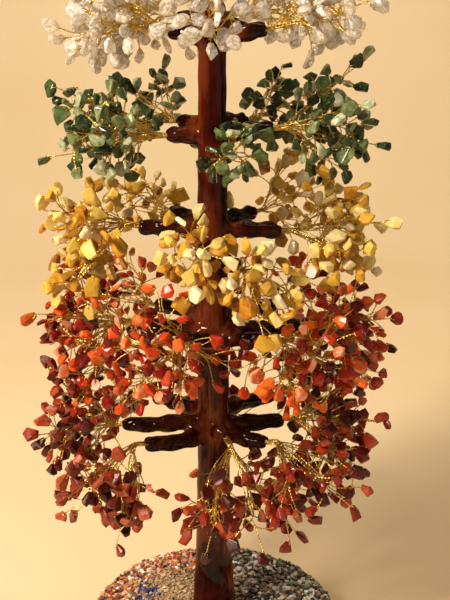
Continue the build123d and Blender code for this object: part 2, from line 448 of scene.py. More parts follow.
@dataclass(frozen=True)
class LacquerFinish:
    """Thick glossy lacquer over wrapped wire, red-brown where it is thin and nearly black where it pools. The
    lighter patches are partly thin lacquer and partly painted sunlight: the extra patches towards the bottom
    stand in for sunlight falling between the stones' shadows.
    """

    pooled: str = "140302"
    body: str = "441006"
    bright: str = "5c1b0a"
    # Orange-brown of thin lacquer, also the colour of the painted sunlit patches low on the trunk
    thin_and_sunlit_tint: str = "8a4418"
    body_edges: Triple = (0.36, 0.52, 0.68)
    # Lighter patches, partly painted sunlight: the edges of their mask, the heights over which they grow more
    # common towards the bottom, and their share at the top and the share added at the bottom
    thin_and_sunlit_edges: Pair = (0.5, 0.54)
    sunlit_patch_heights: Pair = (260 * MM, 30 * MM)
    thin_and_sunlit_shares: Pair = (0.2, 0.75)
    pool_reach: Pair = (15 * MM, 26 * MM)
    pool_share: float = 0.8
    streak_size: float = 4 * MM
    streak_stretch: Triple = (1, 1, 0.12)
    streak_detail: float = 4.0
    streak_share: float = 0.25
    fine_share: float = 0.2
    patch_size: float = 26 * MM
    patch_stretch: Triple = (1, 1, 0.45)
    drip_size: float = 9 * MM
    drip_stretch: Triple = (1, 1, 0.4)
    drip_detail: float = 2.0
    drip_depth: float = 2.2 * MM
    drip_strength: float = 0.6
    gloss: float = 0.3
    gloss_spread: float = 0.2
    coat: float = 0.4
    coat_gloss: float = 0.07
    index: float = 1.5

    def material(self, name: str) -> bpy.types.Material:
        """Makes the lacquer.

        Args:
            name: Name of the material.

        Returns:
            The material.
        """
        finish = FinishTree(name)
        streak = finish.cloud(self.streak_size, self.streak_detail, self.streak_stretch)
        patch = finish.cloud(self.patch_size, self.streak_detail, self.patch_stretch)
        drip = finish.cloud(self.drip_size, self.drip_detail, self.drip_stretch)
        place = finish.add("ShaderNodeTexCoord", output="Object")
        right, away, height = (
            finish.add("ShaderNodeSeparateXYZ", inputs={"Vector": place}, output=axis) for axis in "XYZ"
        )
        tone = streak * self.streak_share + patch * (1 - self.streak_share)
        colour = finish.ramp(tone, tuple(zip(self.body_edges, (self.pooled, self.body, self.bright))))
        # Lighter patches: a few of thin lacquer everywhere, and more towards the bottom that are painted
        # sunlight falling between the stones' shadows
        thin_and_sunlit = finish.mask(patch * (1 - self.fine_share) + streak * self.fine_share, self.thin_and_sunlit_edges)
        least, added = self.thin_and_sunlit_shares
        low = finish.ranged(height, self.sunlit_patch_heights, (0.0, 1.0))
        colour = finish.mixed(thin_and_sunlit * (low * added + least), colour, paint(self.thin_and_sunlit_tint))
        near, far = (reach**2 for reach in self.pool_reach)
        pooled = finish.ranged(right * right + away * away, (near, far), (0.0, self.pool_share))
        colour = finish.mixed(pooled, colour, paint(self.pooled))
        relief = drip * (1 - self.fine_share) + streak * self.fine_share
        return finish.dress(
            {
                "Base Color": colour,
                "Roughness": streak * self.gloss_spread + self.gloss,
                "Normal": finish.bumped(relief, self.drip_depth, self.drip_strength),
                "Specular IOR Level": 0.0,
                "Coat Weight": self.coat,
                "Coat Roughness": self.coat_gloss,
                "IOR": self.index,
            }
        )


@dataclass(frozen=True)
class BrassFinish:
    """Drawn brass-coloured wire, brighter where it was pulled and dull in the hollows."""

    bright: str = "f6d674"
    dull: str = "a87e2c"
    stain_size: float = 5 * MM
    stain_edges: Pair = (0.32, 0.56)
    gloss: float = 0.42
    gloss_spread: float = 0.24

    def material(self, name: str) -> bpy.types.Material:
        """Makes the wire's metal.

        Args:
            name: Name of the material.

        Returns:
            The material.
        """
        finish = FinishTree(name)
        stain = finish.cloud(self.stain_size)
        colour = finish.ramp(stain, tuple(zip(self.stain_edges, (self.dull, self.bright))))
        gloss = self.gloss - stain * self.gloss_spread
        return finish.dress({"Base Color": colour, "Metallic": 1.0, "Roughness": gloss})


@dataclass(frozen=True)
class GrainFinish:
    """Crushed gravel set in clear resin: each grain has its own colour."""

    dust_size: float = 0.8 * MM
    dust_detail: float = 2.0
    dust_depth: float = 0.15 * MM
    dust_strength: float = 0.5
    light_share: float = 0.5
    gloss: float = 0.25
    gloss_spread: float = 0.3
    coat: float = 0.3
    coat_gloss: float = 0.15

    def material(self, name: str) -> bpy.types.Material:
        """Makes the gravel.

        Args:
            name: Name of the material.

        Returns:
            The material.
        """
        finish = FinishTree(name)
        mark = finish.add("ShaderNodeAttribute", {"attribute_name": MARK}, output="Color")
        dust = finish.cloud(self.dust_size, self.dust_detail)
        return finish.dress(
            {
                "Base Color": finish.lit(mark, dust * self.light_share + (1 - self.light_share / 2)),
                "Roughness": dust * self.gloss_spread + self.gloss,
                "Normal": finish.bumped(dust, self.dust_depth, self.dust_strength),
                "Coat Weight": self.coat,
                "Coat Roughness": self.coat_gloss,
            }
        )


@dataclass(frozen=True)
class MortarFinish:
    """Sandy resin: the bed between the grains, and the cast plinth under it."""

    dark: str
    pale: str
    sand_size: float
    sand_detail: float = 5.0
    sand_share: float = 0.7
    sand_depth: float = 0.6 * MM
    sand_strength: float = 0.9
    stain_size: float = 14 * MM
    tone_edges: Pair = (0.3, 0.7)
    gloss: float = 0.45
    gloss_spread: float = 0.3

    def material(self, name: str) -> bpy.types.Material:
        """Makes the mortar.

        Args:
            name: Name of the material.

        Returns:
            The material.
        """
        finish = FinishTree(name)
        sand = finish.cloud(self.sand_size, self.sand_detail)
        stain = finish.cloud(self.stain_size)
        tone = sand * self.sand_share + stain * (1 - self.sand_share)
        return finish.dress(
            {
                "Base Color": finish.ramp(tone, tuple(zip(self.tone_edges, (self.dark, self.pale)))),
                "Roughness": stain * self.gloss_spread + self.gloss,
                "Normal": finish.bumped(sand, self.sand_depth, self.sand_strength),
            }
        )


@dataclass(frozen=True)
class Run:
    """A straight wire run or branch of the frame, from the trunk's side outwards."""

    start: np.ndarray
    end: np.ndarray

    @property
    def length(self) -> float:
        """Length of the run."""
        return float(np.linalg.norm(self.end - self.start))

    @property
    def axis(self) -> np.ndarray:
        """Unit direction of the run."""
        return unit(self.end - self.start)

    def flipped(self) -> "Run":
        """The same run the other way round."""
        return Run(self.end, self.start)

    def share_near(self, point: np.ndarray) -> float:
        """Share of the run's length that lies before the place nearest to a point."""
        return float(np.clip((point - self.start) @ self.axis / self.length, 0, 1))

    def at(self, share: float) -> np.ndarray:
        """Point at a share of the run's length."""
        return self.start + (self.end - self.start) * share

    def distance(self, points: np.ndarray) -> np.ndarray:
        """Distances of points from the run."""
        share = np.clip((points - self.start) @ self.axis / self.length, 0, 1)
        return np.linalg.norm(points - self.start - share[..., None] * (self.end - self.start), axis=-1)


@dataclass(frozen=True)
class Seat:
    """Where a stone sits: its drilled end, its directions, its size and the strand that feeds its wire."""

    point: np.ndarray
    axis: np.ndarray
    broad: np.ndarray
    size: np.ndarray
    strand: int
    perch_share: float

    @property
    def flat(self) -> np.ndarray:
        """Direction square to the stone's broad faces."""
        return np.cross(self.axis, self.broad)

    def spheres(self, girth_share: float) -> tuple[np.ndarray, np.ndarray]:
        """Two spheres that stand for the stone.

        Args:
            girth_share: Their radius as a share of the stone's width.

        Returns:
            Their centres and their radii.
        """
        ways = np.array(SPHERE_SHARES) * self.size[0]
        return self.point + ways[:, None] * self.axis, np.full(2, self.size[1] * girth_share)


class FrameSolids:
    """Reads the plain solids of the frame."""

    def __init__(self, nodes: dict[str, bpy.types.Object]) -> None:
        """Keeps the nodes of the frame."""
        self.nodes = nodes

    def solids(self, name: str) -> list[np.ndarray]:
        """Splits a node into its solids.

        Args:
            name: Name of the node.

        Returns:
            The corner points of each solid.
        """
        mesh = self.nodes[name].data
        places = np.empty(len(mesh.vertices) * 3, np.float32)
        mesh.vertices.foreach_get("co", places)
        corners = np.empty(len(mesh.loops), np.int32)
        mesh.loops.foreach_get("vertex_index", corners)
        grid = np.round(places.reshape(-1, 3) / WELD).astype(np.int64)
        spots, index = np.unique(grid, axis=0, return_inverse=True)
        triangles = index.reshape(-1)[corners].reshape(-1, 3)
        leader = np.arange(len(spots))
        while True:
            least = np.repeat(leader[triangles].min(axis=1), 3)
            found = leader.copy()
            np.minimum.at(found, triangles.ravel(), least)
            found = found[found]
            if np.array_equal(found, leader):
                return [spots[leader == first] * WELD for first in np.unique(leader)]
            leader = found

    def runs(self, name: str) -> dict[RunKind, list[Run]]:
        """Reads the wire runs of a node.

        Args:
            name: Name of the node.

        Returns:
            The runs of each kind, in no known direction.
        """
        found: dict[RunKind, list[Run]] = {kind: [] for kind in RunKind}
        for points in self.solids(name):
            middle = points.mean(axis=0)
            way = np.linalg.svd(points - middle)[2][0]
            order = np.argsort((points - middle) @ way)
            half = len(order) // 2
            run = Run(points[order[:half]].mean(axis=0), points[order[half:]].mean(axis=0))
            found[RunKind(len(points))].append(run)
        return found

    def column(self, name: str) -> np.ndarray:
        """Reads the outer rings of an upright node.

        Args:
            name: Name of the node.

        Returns:
            Height and radius of each ring, from the bottom up.
        """
        points = np.concatenate(self.solids(name))
        heights = np.round(points[:, 2], HEIGHT_DIGITS)
        reach = np.hypot(points[:, 0], points[:, 1])
        rings = [(height, reach[heights == height].max()) for height in np.unique(heights)]
        inner = [
            ring
            for before, ring, after in zip(rings, rings[1:], rings[2:])
            if ring[1] < min(before[1], after[1])
        ]
        return np.array([ring for ring in rings if ring not in inner])


@dataclass(frozen=True)
class Pebble:
    """A stone in its own unit box: corner points, triangles and which half of the map each is on."""

    points: np.ndarray
    triangles: np.ndarray

    @classmethod
    def taken(cls, form: bmesh.types.BMesh) -> "Pebble":
        """Takes a stone out of the mesh that it was cut in, and frees that mesh.

        Args:
            form: The mesh, all triangles.

        Returns:
            The stone.
        """
        bmesh.ops.recalc_face_normals(form, faces=form.faces[:])
        form.verts.index_update()
        points = np.array([vert.co for vert in form.verts])
        triangles = np.array([[vert.index for vert in face.verts] for face in form.faces])
        form.free()
        return cls(points, triangles)

    @property
    def halves(self) -> np.ndarray:
        """For each triangle, 0 if it faces along Y and 1 if it faces the other way."""
        first, second, third = (self.points[self.triangles[:, corner]] for corner in range(3))
        return (np.cross(second - first, third - first)[:, 1] < 0).astype(int)


def hulled(corners: np.ndarray) -> bmesh.types.BMesh:
    """Wraps corner points in their convex hull.

    Args:
        corners: The points.

    Returns:
        The hull as a mesh of triangles.
    """
    form = bmesh.new()
    verts = [form.verts.new(corner) for corner in corners]
    hull = bmesh.ops.convex_hull(form, input=verts)
    spare = [item for item in hull["geom_interior"] if isinstance(item, bmesh.types.BMVert)]
    bmesh.ops.delete(form, geom=spare, context="VERTS")
    return form


@dataclass(frozen=True)
class ChipCut:
    """How one kind of stone breaks and how far it was tumbled. Shares are of the chip's own box."""

    corner_counts: tuple[int, int]
    neck_share: float
    inset_share: float
    bevel_share: float
    bevel_steps: int = 2
    bevel_profile: float = 0.6
    uneven_share: float = 0.34
    reach_shares: Pair = (0.56, 1.0)
    half_width_share: float = 0.5
    half_length_share: float = 0.45
    middle_share: float = 0.55
    neck_reach_share: float = 0.5
    rise_share: float = 0.4
    rise_limit_shares: Pair = (0.08, 0.5)
    tilt_share: float = 0.65
    shift_share: float = 0.1
    rim_share: float = 0.15
    drilled_share: float = 0.16
    weld_share: float = 0.07
    seam_share: float = 0.004
    flat_angle: float = 0.2


class ChipCutter:
    """Cuts chips that are 1 long from their drilled end along Z, 1 wide along X and 1 thick along Y."""

    def __init__(self, cut: ChipCut, seed: int) -> None:
        """Keeps the cut and starts its own row of random draws."""
        self.cut = cut
        self.draw = np.random.default_rng(seed)

    def corners(self) -> np.ndarray:
        """Draws a rough chip, before the tumbling.

        Returns:
            Its corner points: two broad faces, the rim between them and the drilled end.
        """
        draw, cut = self.draw, self.cut
        count = int(draw.integers(cut.corner_counts[0], cut.corner_counts[1] + 1))
        turns = (np.arange(count) + draw.uniform(-cut.uneven_share, cut.uneven_share, count)) * TURN / count
        turns += draw.uniform(0, TURN)
        reach = draw.uniform(*cut.reach_shares, count)
        across = cut.half_width_share * reach * np.cos(turns)
        along = cut.middle_share + cut.half_length_share * reach * np.sin(turns)
        across *= cut.neck_share + (1 - cut.neck_share) * eased(along / cut.neck_reach_share)
        off = along - cut.middle_share
        layers = []
        for face in (1, -1):
            inset = draw.uniform(cut.inset_share, 1.0, count)
            tilt = draw.uniform(-cut.tilt_share, cut.tilt_share, 2)
            shift = draw.uniform(-cut.shift_share, cut.shift_share, 2)
            rise = np.clip(cut.rise_share + tilt[0] * across + tilt[1] * off, *cut.rise_limit_shares)
            places = (across * inset + shift[0], face * rise, cut.middle_share + off * inset + shift[1])
            layers.append(np.stack(places, axis=1))
        rim = np.stack((across, draw.uniform(-cut.rim_share, cut.rim_share, count), along), axis=1)
        edges = (-cut.drilled_share, cut.drilled_share)
        drilled = [(x, y, 0.0) for x in edges for y in edges]
        return np.concatenate((*layers, rim, np.array(drilled)))

    def chip(self) -> Pebble:
        """Cuts and tumbles one chip.

        Returns:
            The chip, with flat facets and rounded edges.
        """
        cut = self.cut
        form = hulled(self.corners())
        bmesh.ops.remove_doubles(form, verts=form.verts[:], dist=cut.weld_share)
        bmesh.ops.dissolve_limit(form, angle_limit=cut.flat_angle, verts=form.verts[:], edges=form.edges[:])
        bmesh.ops.bevel(
            form,
            geom=form.edges[:],
            offset=cut.bevel_share,
            offset_type="OFFSET",
            segments=cut.bevel_steps,
            profile=cut.bevel_profile,
            affect="EDGES",
            clamp_overlap=True,
        )
        bmesh.ops.remove_doubles(form, verts=form.verts[:], dist=cut.seam_share)
        bmesh.ops.triangulate(form, faces=form.faces[:])
        pebble = Pebble.taken(form)
        low, high = pebble.points.min(axis=0), pebble.points.max(axis=0)
        centred = (pebble.points - (low + high) / 2) / (high - low)
        return replace(pebble, points=centred + (0, 0, 1 / 2))


class GrainCutter:
    """Cuts grains of crushed gravel, with sharp edges, in a box of side 1 about their middle."""

    def __init__(self, seed: int, corner_count: int = 9) -> None:
        """Starts its own row of random draws."""
        self.draw = np.random.default_rng(seed)
        self.corner_count = corner_count

    def grain(self) -> Pebble:
        """Cuts one grain."""
        return Pebble.taken(hulled(unit(self.draw.normal(size=(self.corner_count, 3))) / 2))


class MeshMaker:
    """Turns arrays of points and faces into objects."""

    @staticmethod
    def make(
        name: str,
        points: np.ndarray,
        faces: np.ndarray,
        material: bpy.types.Material,
        spots: np.ndarray | None = None,
        marks: np.ndarray | None = None,
        smooth: bool = True,
    ) -> bpy.types.Object:
        """Makes a mesh object.

        Args:
            name: Name of the object.
            points: Vertices.
            faces: Corners of each face, all of one count.
            material: Its finish.
            spots: Map coordinates of each face's corners.
            marks: A colour for each vertex that the finish reads.
            smooth: Whether light runs smoothly over the edges.

        Returns:
            The object, in the scene.
        """
        mesh = bpy.data.meshes.new(name)
        count, corners = faces.shape
        mesh.vertices.add(len(points))
        mesh.vertices.foreach_set("co", points.astype(np.float32).ravel())
        mesh.loops.add(count * corners)
        mesh.loops.foreach_set("vertex_index", faces.astype(np.int32).ravel())
        mesh.polygons.add(count)
        mesh.polygons.foreach_set("loop_start", np.arange(0, count * corners, corners, dtype=np.int32))
        mesh.polygons.foreach_set("use_smooth", np.full(count, smooth))
        if spots is not None:
            layer = mesh.uv_layers.new(name=UV_MAP)
            layer.data.foreach_set("uv", spots.astype(np.float32).ravel())
        if marks is not None:
            layer = mesh.attributes.new(MARK, "FLOAT_COLOR", "POINT")
            layer.data.foreach_set("color", marks.astype(np.float32).ravel())
        mesh.update(calc_edges=True)
        mesh.materials.append(material)
        piece = bpy.data.objects.new(name, mesh)
        bpy.context.scene.collection.objects.link(piece)
        return piece

    @staticmethod
    def facet_normals(piece: bpy.types.Object, points: np.ndarray, triangles: np.ndarray) -> None:
        """Keeps large facets flat while light runs over the rounded edges between them.

        Args:
            piece: A smooth mesh object.
            points: Its vertices.
            triangles: Its faces.
        """
        first, second, third = (points[triangles[:, corner]] for corner in range(3))
        facing = np.cross(second - first, third - first)
        normals = np.zeros_like(points)
        for corner in range(3):
            np.add.at(normals, triangles[:, corner], facing)
        piece.data.normals_split_custom_set_from_vertices(unit(normals))


@dataclass
class StoneHeap:
    """Collects stones of one piece: each a pebble with a place, three directions and a mark."""

    cell_share: float = 0.9
    stones: list[tuple[Pebble, np.ndarray, np.ndarray, tuple[float, ...]]] = field(default_factory=list)

    def add(self, pebble: Pebble, place: np.ndarray, ways: np.ndarray, mark: tuple[float, ...]) -> None:
        """Adds a stone.

        Args:
            pebble: Its shape.
            place: Where the origin of its box goes.
            ways: Rows that its X, Y and Z run along, with their lengths.
            mark: Its colour mark.
        """
        self.stones.append((pebble, place, ways, mark))

    def make(self, name: str, material: bpy.types.Material, facets: bool) -> bpy.types.Object:
        """Makes one mesh of all the stones.

        Args:
            name: Name of the object.
            material: Its finish.
            facets: Whether edges are rounded, with flat facets between them.

        Returns:
            The object.
        """
        columns = math.ceil(math.sqrt(2 * len(self.stones)))
        points, triangles, spots, marks = [], [], [], []
        count = 0
        for number, (pebble, place, ways, mark) in enumerate(self.stones):
            points.append(place + pebble.points @ ways)
            triangles.append(pebble.triangles + count)
            marks.append(np.tile(mark, (len(pebble.points), 1)))
            cell = 2 * number + pebble.halves
            low = pebble.points.min(axis=0)
            share = (pebble.points - low)[:, (0, 2)] / np.ptp(pebble.points, axis=0)[[0, 2]]
            inner = share[pebble.triangles] * self.cell_share + (1 - self.cell_share) / 2
            corner = np.stack((cell % columns, cell // columns), axis=1)
            spots.append((inner + corner[:, None]) / columns)
            count += len(pebble.points)
        places, faces = np.concatenate(points), np.concatenate(triangles)
        maps, tints = np.concatenate(spots), np.concatenate(marks)
        piece = MeshMaker.make(name, places, faces, material, maps, tints, facets)
        if facets:
            MeshMaker.facet_normals(piece, places, faces)
        return piece


class Thicket:
    """Room that stones, wires and branches take up, as spheres."""

    def __init__(self) -> None:
        """Starts empty."""
        self.centres = np.empty((0, 3))
        self.radii = np.empty(0)

    def take(self, centres: np.ndarray, radii: np.ndarray) -> None:
        """Fills some room."""
        self.centres = np.concatenate((self.centres, centres))
        self.radii = np.concatenate((self.radii, radii))

    def take_run(self, run: Run, radius: float) -> None:
        """Fills the room of a straight run."""
        count = max(2, math.ceil(run.length / radius))
        self.take(np.array([run.at(share) for share in np.linspace(0, 1, count)]), np.full(count, radius))

    def clear(self, centres: np.ndarray, radii: np.ndarray) -> bool:
        """Tells whether spheres keep clear of all that is there."""
        apart = np.linalg.norm(centres[:, None] - self.centres[None], axis=2)
        return bool(np.all(apart > radii[:, None] + self.radii[None]))


@dataclass(frozen=True)
class StoneKind:
    """A tier's stones: how they are cut, finished and crowded."""

    cut: ChipCut
    finish: StoneFinish
    growth_shares: Pair
    companions: int
    tone_shares: Pair
    plump_shares: Triple = (0.94, 1.14, 1.2)
    perch_shares: Pair = (0.15, 1.0)
    stalk_shares: Pair = (0.5, 1.5)
    trailers: int = 0


@dataclass(frozen=True)
class WireLoom:
    """Twists wires. A wire is a pair of strands, drawn as one tube of two lobes that turns as it runs."""

    half_width: float = 0.56 * MM
    half_depth: float = 0.3 * MM
    lay: float = 5.0 * MM
    ring_step: float = 0.85 * MM
    sides: int = 6
    loop_sides: int = 4
    loop_points: int = 15
    map_share: float = 0.9
    cap_share: float = 0.001

    @staticmethod
    def carried(paths: np.ndarray) -> tuple[np.ndarray, np.ndarray]:
        """Finds two directions square to each path that turn with it as little as they can.

        Args:
            paths: Points of each path.

        Returns:
            The two directions at each point.
        """
        ways = unit(np.gradient(paths, axis=1))
        sides = np.empty_like(ways)
        sides[:, 0] = [square_to(way, 0) for way in ways[:, 0]]
        for step in range(1, paths.shape[1]):
            way, side = ways[:, step], sides[:, step - 1]
            sides[:, step] = unit(side - way * np.sum(side * way, axis=1, keepdims=True))
        return sides, np.cross(ways, sides)

    @staticmethod
    def spread(path: np.ndarray, count: int) -> np.ndarray:
        """Spaces points evenly along a path.

        Args:
            path: Points of the path.
            count: Number of points wanted.

        Returns:
            That many points.
        """
        steps = np.linalg.norm(np.diff(path, axis=0), axis=1)
        ways = np.concatenate(((0.0,), np.cumsum(steps)))
        wanted = np.linspace(0, ways[-1], count)
        return np.stack([np.interp(wanted, ways, path[:, axis]) for axis in range(3)], axis=1)

    def sweep(self, paths: np.ndarray, sides: int, outline: np.ndarray) -> Swept:
        """Sweeps outlines along paths.

        Args:
            paths: Points of each path.
            sides: Corners of the outline.
            outline: Two offsets for each path, point and corner.

        Returns:
            Vertices, four-cornered faces and their map coordinates.
        """
        first, second = (way[:, :, None] for way in self.carried(paths))
        rings = paths[:, :, None] + outline[..., :1] * first + outline[..., 1:] * second
        runs, count = paths.shape[:2]
        run, ring, side = np.meshgrid(np.arange(runs), np.arange(count - 1), np.arange(sides), indexing="ij")
        base, after = run * count * sides, (side + 1) % sides
        low, high = base + ring * sides, base + (ring + 1) * sides
        walls = np.stack((low + side, low + after, high + after, high + side), axis=-1).reshape(-1, 4)
        u0, u1 = ring / count, (ring + 1) / count
        v0, v1 = ((run + self.map_share * edge / sides) / runs for edge in (side, side + 1))
        corners = ((u0, v0), (u0, v1), (u1, v1), (u1, v0))
        spots = np.stack([np.stack(corner, axis=-1) for corner in corners], axis=-2).reshape(-1, 4, 2)
        starts = np.arange(runs)[:, None] * count * sides
        ends = starts + (count - 1) * sides
        caps = [starts + (0, 3, 2, 1), ends + (0, 1, 2, 3)]
        if sides == self.sides:
            caps = [starts + (3, 2, 1, 0), starts + (0, 5, 4, 3), ends + (0, 1, 2, 3), ends + (3, 4, 5, 0)]
        cap_faces = np.concatenate(caps)
        cap = self.cap_share
        cap_spots = np.tile(((0.0, 0.0), (cap, 0.0), (cap, cap), (0.0, cap)), (len(cap_faces), 1, 1))
        faces = np.concatenate((walls, cap_faces))
        return rings.reshape(-1, 3), faces, np.concatenate((spots, cap_spots))

    def bend(self, paths: list[np.ndarray]) -> Swept:
        """Bends single wires along short paths.

        Args:
            paths: Points of each wire's middle line, as many for each.

        Returns:
            Vertices, faces and map coordinates.
        """
        even = np.array([self.spread(path, self.loop_points) for path in paths])
        corner = np.arange(self.loop_sides) * TURN / self.loop_sides
        ring = self.half_depth * np.stack((np.cos(corner), np.sin(corner)), axis=-1)
        return self.sweep(even, self.loop_sides, np.broadcast_to(ring, (*even.shape[:2], *ring.shape)))

    @staticmethod
    def joined(meshes: list[Swept], width_shares: Triple) -> Swept:
        """Joins swept meshes, whose maps then lie side by side.

        Args:
            meshes: Vertices, faces and map coordinates of each.
            width_shares: Share of the map's width that each gets.

        Returns:
            Vertices, faces and map coordinates of all.
        """
        points, faces, spots = [], [], []
        count, left = 0, 0.0
        for (places, corners, share), width in zip(meshes, width_shares):
            points.append(places)
            faces.append(corners + count)
            spots.append(share * (width, 1.0) + (left, 0.0))
            count += len(places)
            left += width
        return np.concatenate(points), np.concatenate(faces), np.concatenate(spots)

    def twist(self, paths: list[np.ndarray], phases: np.ndarray) -> Swept:
        """Twists a pair of strands along each path.

        Args:
            paths: Points of each wire's middle line.
            phases: Angle that each pair starts at.

        Returns:
            Vertices, faces and map coordinates.
        """
        lengths = [np.linalg.norm(np.diff(path, axis=0), axis=1).sum() for path in paths]
        count = math.ceil(max(lengths) / self.ring_step)
        even = np.array([self.spread(path, count) for path in paths])
        way = np.outer(lengths, np.linspace(0, 1, count))
        corner = np.arange(self.sides) * TURN / self.sides
        roll = (TURN * way / self.lay + phases[:, None])[..., None]
        x, y = self.half_width * np.cos(corner), self.half_depth * np.sin(corner)
        cosine, sine = np.cos(roll), np.sin(roll)
        outline = np.stack((x * cosine - y * sine, x * sine + y * cosine), axis=-1)
        return self.sweep(even, self.sides, outline)


@dataclass(frozen=True)
class WireHabit:
    """How the wires of a spray leave the branch tip, bow, wander and reach their stones."""

    stones_per_wire: float = 4.4
    bow: float = 3 * MM
    bow_share: float = 0.6
    slack: float = 4.5 * MM
    slack_shares: Pair = (0.15, 1.0)
    wave: float = 0.7 * MM
    wave_counts: Pair = (1.5, 3.0)
    wave_turn: float = 1.6
    tip_spread: float = 1.7 * MM
    tip_spread_share: float = 0.3
    tip_sink: float = 3 * MM
    stone_sink: float = 1.6 * MM
    pull_shares: Pair = (0.8, 0.7)
    root_points: int = 10
    strand_points: int = 18
    arc_points: int = 22
    path_points: int = 64
    end_points: int = 4
    loop_millimetres: tuple[float, ...] = (-1.4, -0.2, 1.0, 2.0, 2.6, 2.8)
    loop_rise_shares: tuple[float, ...] = (0.05, 0.2, 0.4, 0.42, 0.26, 0.0)
    map_shares: Triple = (0.55, 0.35, 0.1)


@dataclass(frozen=True)
class TrailHabit:
    """How strands turn back: hanging under their branch, or ending behind the trunk."""

    spread: float = 0.7
    jitter: float = 0.15
    back_reach: Pair = (0.5, 0.8)
    fall: Pair = (0.45, 0.75)
    millimetres: Pair = (26, 34)
    screen_drops: Pair = (2 * MM, 16 * MM)
    screen_aside: float = 3 * MM
    screen_depth: float = 36 * MM
    screen_start_share: float = 0.35


# How many companions the stones of each side get for each that the front gets
SIDE_SHARES: dict[Side, float] = {
    Side.LEFT: 1.5,
    Side.RIGHT: 1.5,
    Side.FRONT: 1.0,
    Side.BACK: 0.85,
    Side.CROWN: 1.0,
}


@dataclass
class Spray:
    """One side of a tier: the bundled wires that leave its branch tips, and the stones on them."""

    tier: Tier
    side: Side
    kind: StoneKind
    seed: int
    wires: WireHabit = WireHabit()
    trails: TrailHabit = TrailHabit()
    stalk_length: float = 14 * MM
    full_strand: float = 42 * MM
    strand_room: float = 1.2 * MM
    box_margin: float = 5 * MM
    tries: int = 110
    rise_share: float = 0.2
    drilled_corners: int = 3
    lean_angles: Pair = (0.35, 1.35)
    size_shares: Pair = (0.82, 1.12)
    stretch_shares: Pair = (0.86, 1.16)
    girth_share: float = 0.33
    swing: float = 0.42
    droop: float = 0.3
    stems: list[Run] = field(default_factory=list)
    strands: list[Run] = field(default_factory=list)
    stem_of: list[int] = field(default_factory=list)
    seats: list[Seat] = field(default_factory=list)

    def __post_init__(self) -> None:
        """Starts the spray's own row of random draws."""
        self.draw = np.random.default_rng(self.seed)

    @property
    def label(self) -> str:
        """Name of the spray in the frame."""
        return f"{self.tier.value}_{self.side.value}"

    def read(self, solids: FrameSolids) -> None:
        """Reads the spray's wires and stones from the frame.

        Args:
            solids: The frame.
        """
        runs = solids.runs(f"{self.label}_wires")
        for stem in runs[RunKind.STEM]:
            ends = (stem.start, stem.end)
            reach = [math.hypot(end[0], end[1]) + self.rise_share * end[2] for end in ends]
            self.stems.append(stem if reach[0] < reach[1] else stem.flipped())
        hubs = np.array([stem.end for stem in self.stems])
        for strand in runs[RunKind.STRAND]:
            near, far = (np.linalg.norm(hubs - end, axis=1) for end in (strand.start, strand.end))
            self.strands.append(strand if near.min() < far.min() else strand.flipped())
            self.stem_of.append(int(np.argmin(np.minimum(near, far))))
        for corners in solids.solids(f"{self.label}_stones"):
            self.seats.append(self._swung(self._seat(corners, runs[RunKind.STALK])))

    def _seat(self, corners: np.ndarray, stalks: list[Run]) -> Seat:
        """Reads one stone and finds the stalk that holds it.

        Args:
            corners: The stone's corner points.
            stalks: The stalks of this spray.

        Returns:
            The stone's seat.
        """

        def gap(run: Run) -> float:
            """Distance from a run's end to the stone's nearest corners."""
            gaps = np.sort(np.linalg.norm(corners - run.end, axis=1))
            return float(gaps[: self.drilled_corners].mean())

        stalk = min((run for stalk in stalks for run in (stalk, stalk.flipped())), key=gap)
        axis = unit(corners.mean(axis=0) - stalk.end)
        reach = corners - stalk.end
        across = reach - (reach @ axis)[:, None] * axis
        broad = np.linalg.svd(across - across.mean(axis=0))[2][0]
        broad = unit(broad - axis * (broad @ axis))
        flat = np.cross(axis, broad)
        size = np.array([np.ptp(reach @ way) for way in (axis, broad, flat)])
        strand = int(np.argmin([run.distance(stalk.start) for run in self.strands]))
        return Seat(stalk.end, axis, broad, size, strand, self.strands[strand].share_near(stalk.start))

    def _swung(self, seat: Seat) -> Seat:
        """Lets a stone swing off the line of its wire, as it hangs in its loop.

        Args:
            seat: The seat in line with the wire.

        Returns:
            The seat with its axis and its faces turned.
        """
        pull = self.swing * self.draw.normal(size=3) - (0, 0, self.droop)
        axis = unit(seat.axis + pull)
        return replace(seat, axis=axis, broad=square_to(axis, self.draw.uniform(0, TURN)))

    def claim(self, thicket: Thicket) -> None:
        """Fills the room of the frame's own stones and wires.

        Args:
            thicket: Room that is taken.
        """
        for seat in self.seats:
            thicket.take(*seat.spheres(self.girth_share))
        for strand in self.strands:
            thicket.take_run(strand, self.strand_room)

    def crowd(self, thicket: Thicket, low: np.ndarray, high: np.ndarray) -> None:
        """Fills gaps between the stones with companions on the same strands.

        Args:
            thicket: Room that is taken.
            low: Lowest corner of the frame's box.
            high: Highest corner of the frame's box.
        """
        typical = np.median([seat.size for seat in self.seats], axis=0)
        crowding = self.kind.companions * SIDE_SHARES[self.side]
        for number, strand in enumerate(self.strands):
            placed = 0
            wanted = round(crowding * strand.length / self.full_strand)
            for _ in range(self.tries):
                if placed >= wanted:
                    break
                seat = self._companion(number, strand, typical)
                centres, radii = seat.spheres(self.girth_share)
                above, below = centres > low + self.box_margin, centres < high - self.box_margin
                if np.all(above) and np.all(below) and thicket.clear(centres, radii):
                    thicket.take(centres, radii)
                    self.seats.append(seat)
                    placed += 1

    def trail(self) -> None:
        """Adds strands that turn back: under the branches at the front, and behind the trunk at the back."""
        for number, stem in enumerate(self.stems):
            if self.side is Side.FRONT:
                added = [self._hanging(stem, lane) for lane in range(self.kind.trailers)]
            elif self.side is Side.BACK:
                added = [self._screening(stem, drop) for drop in self.trails.screen_drops]
            else:
                added = []
            self.strands += added
            self.stem_of += [number] * len(added)

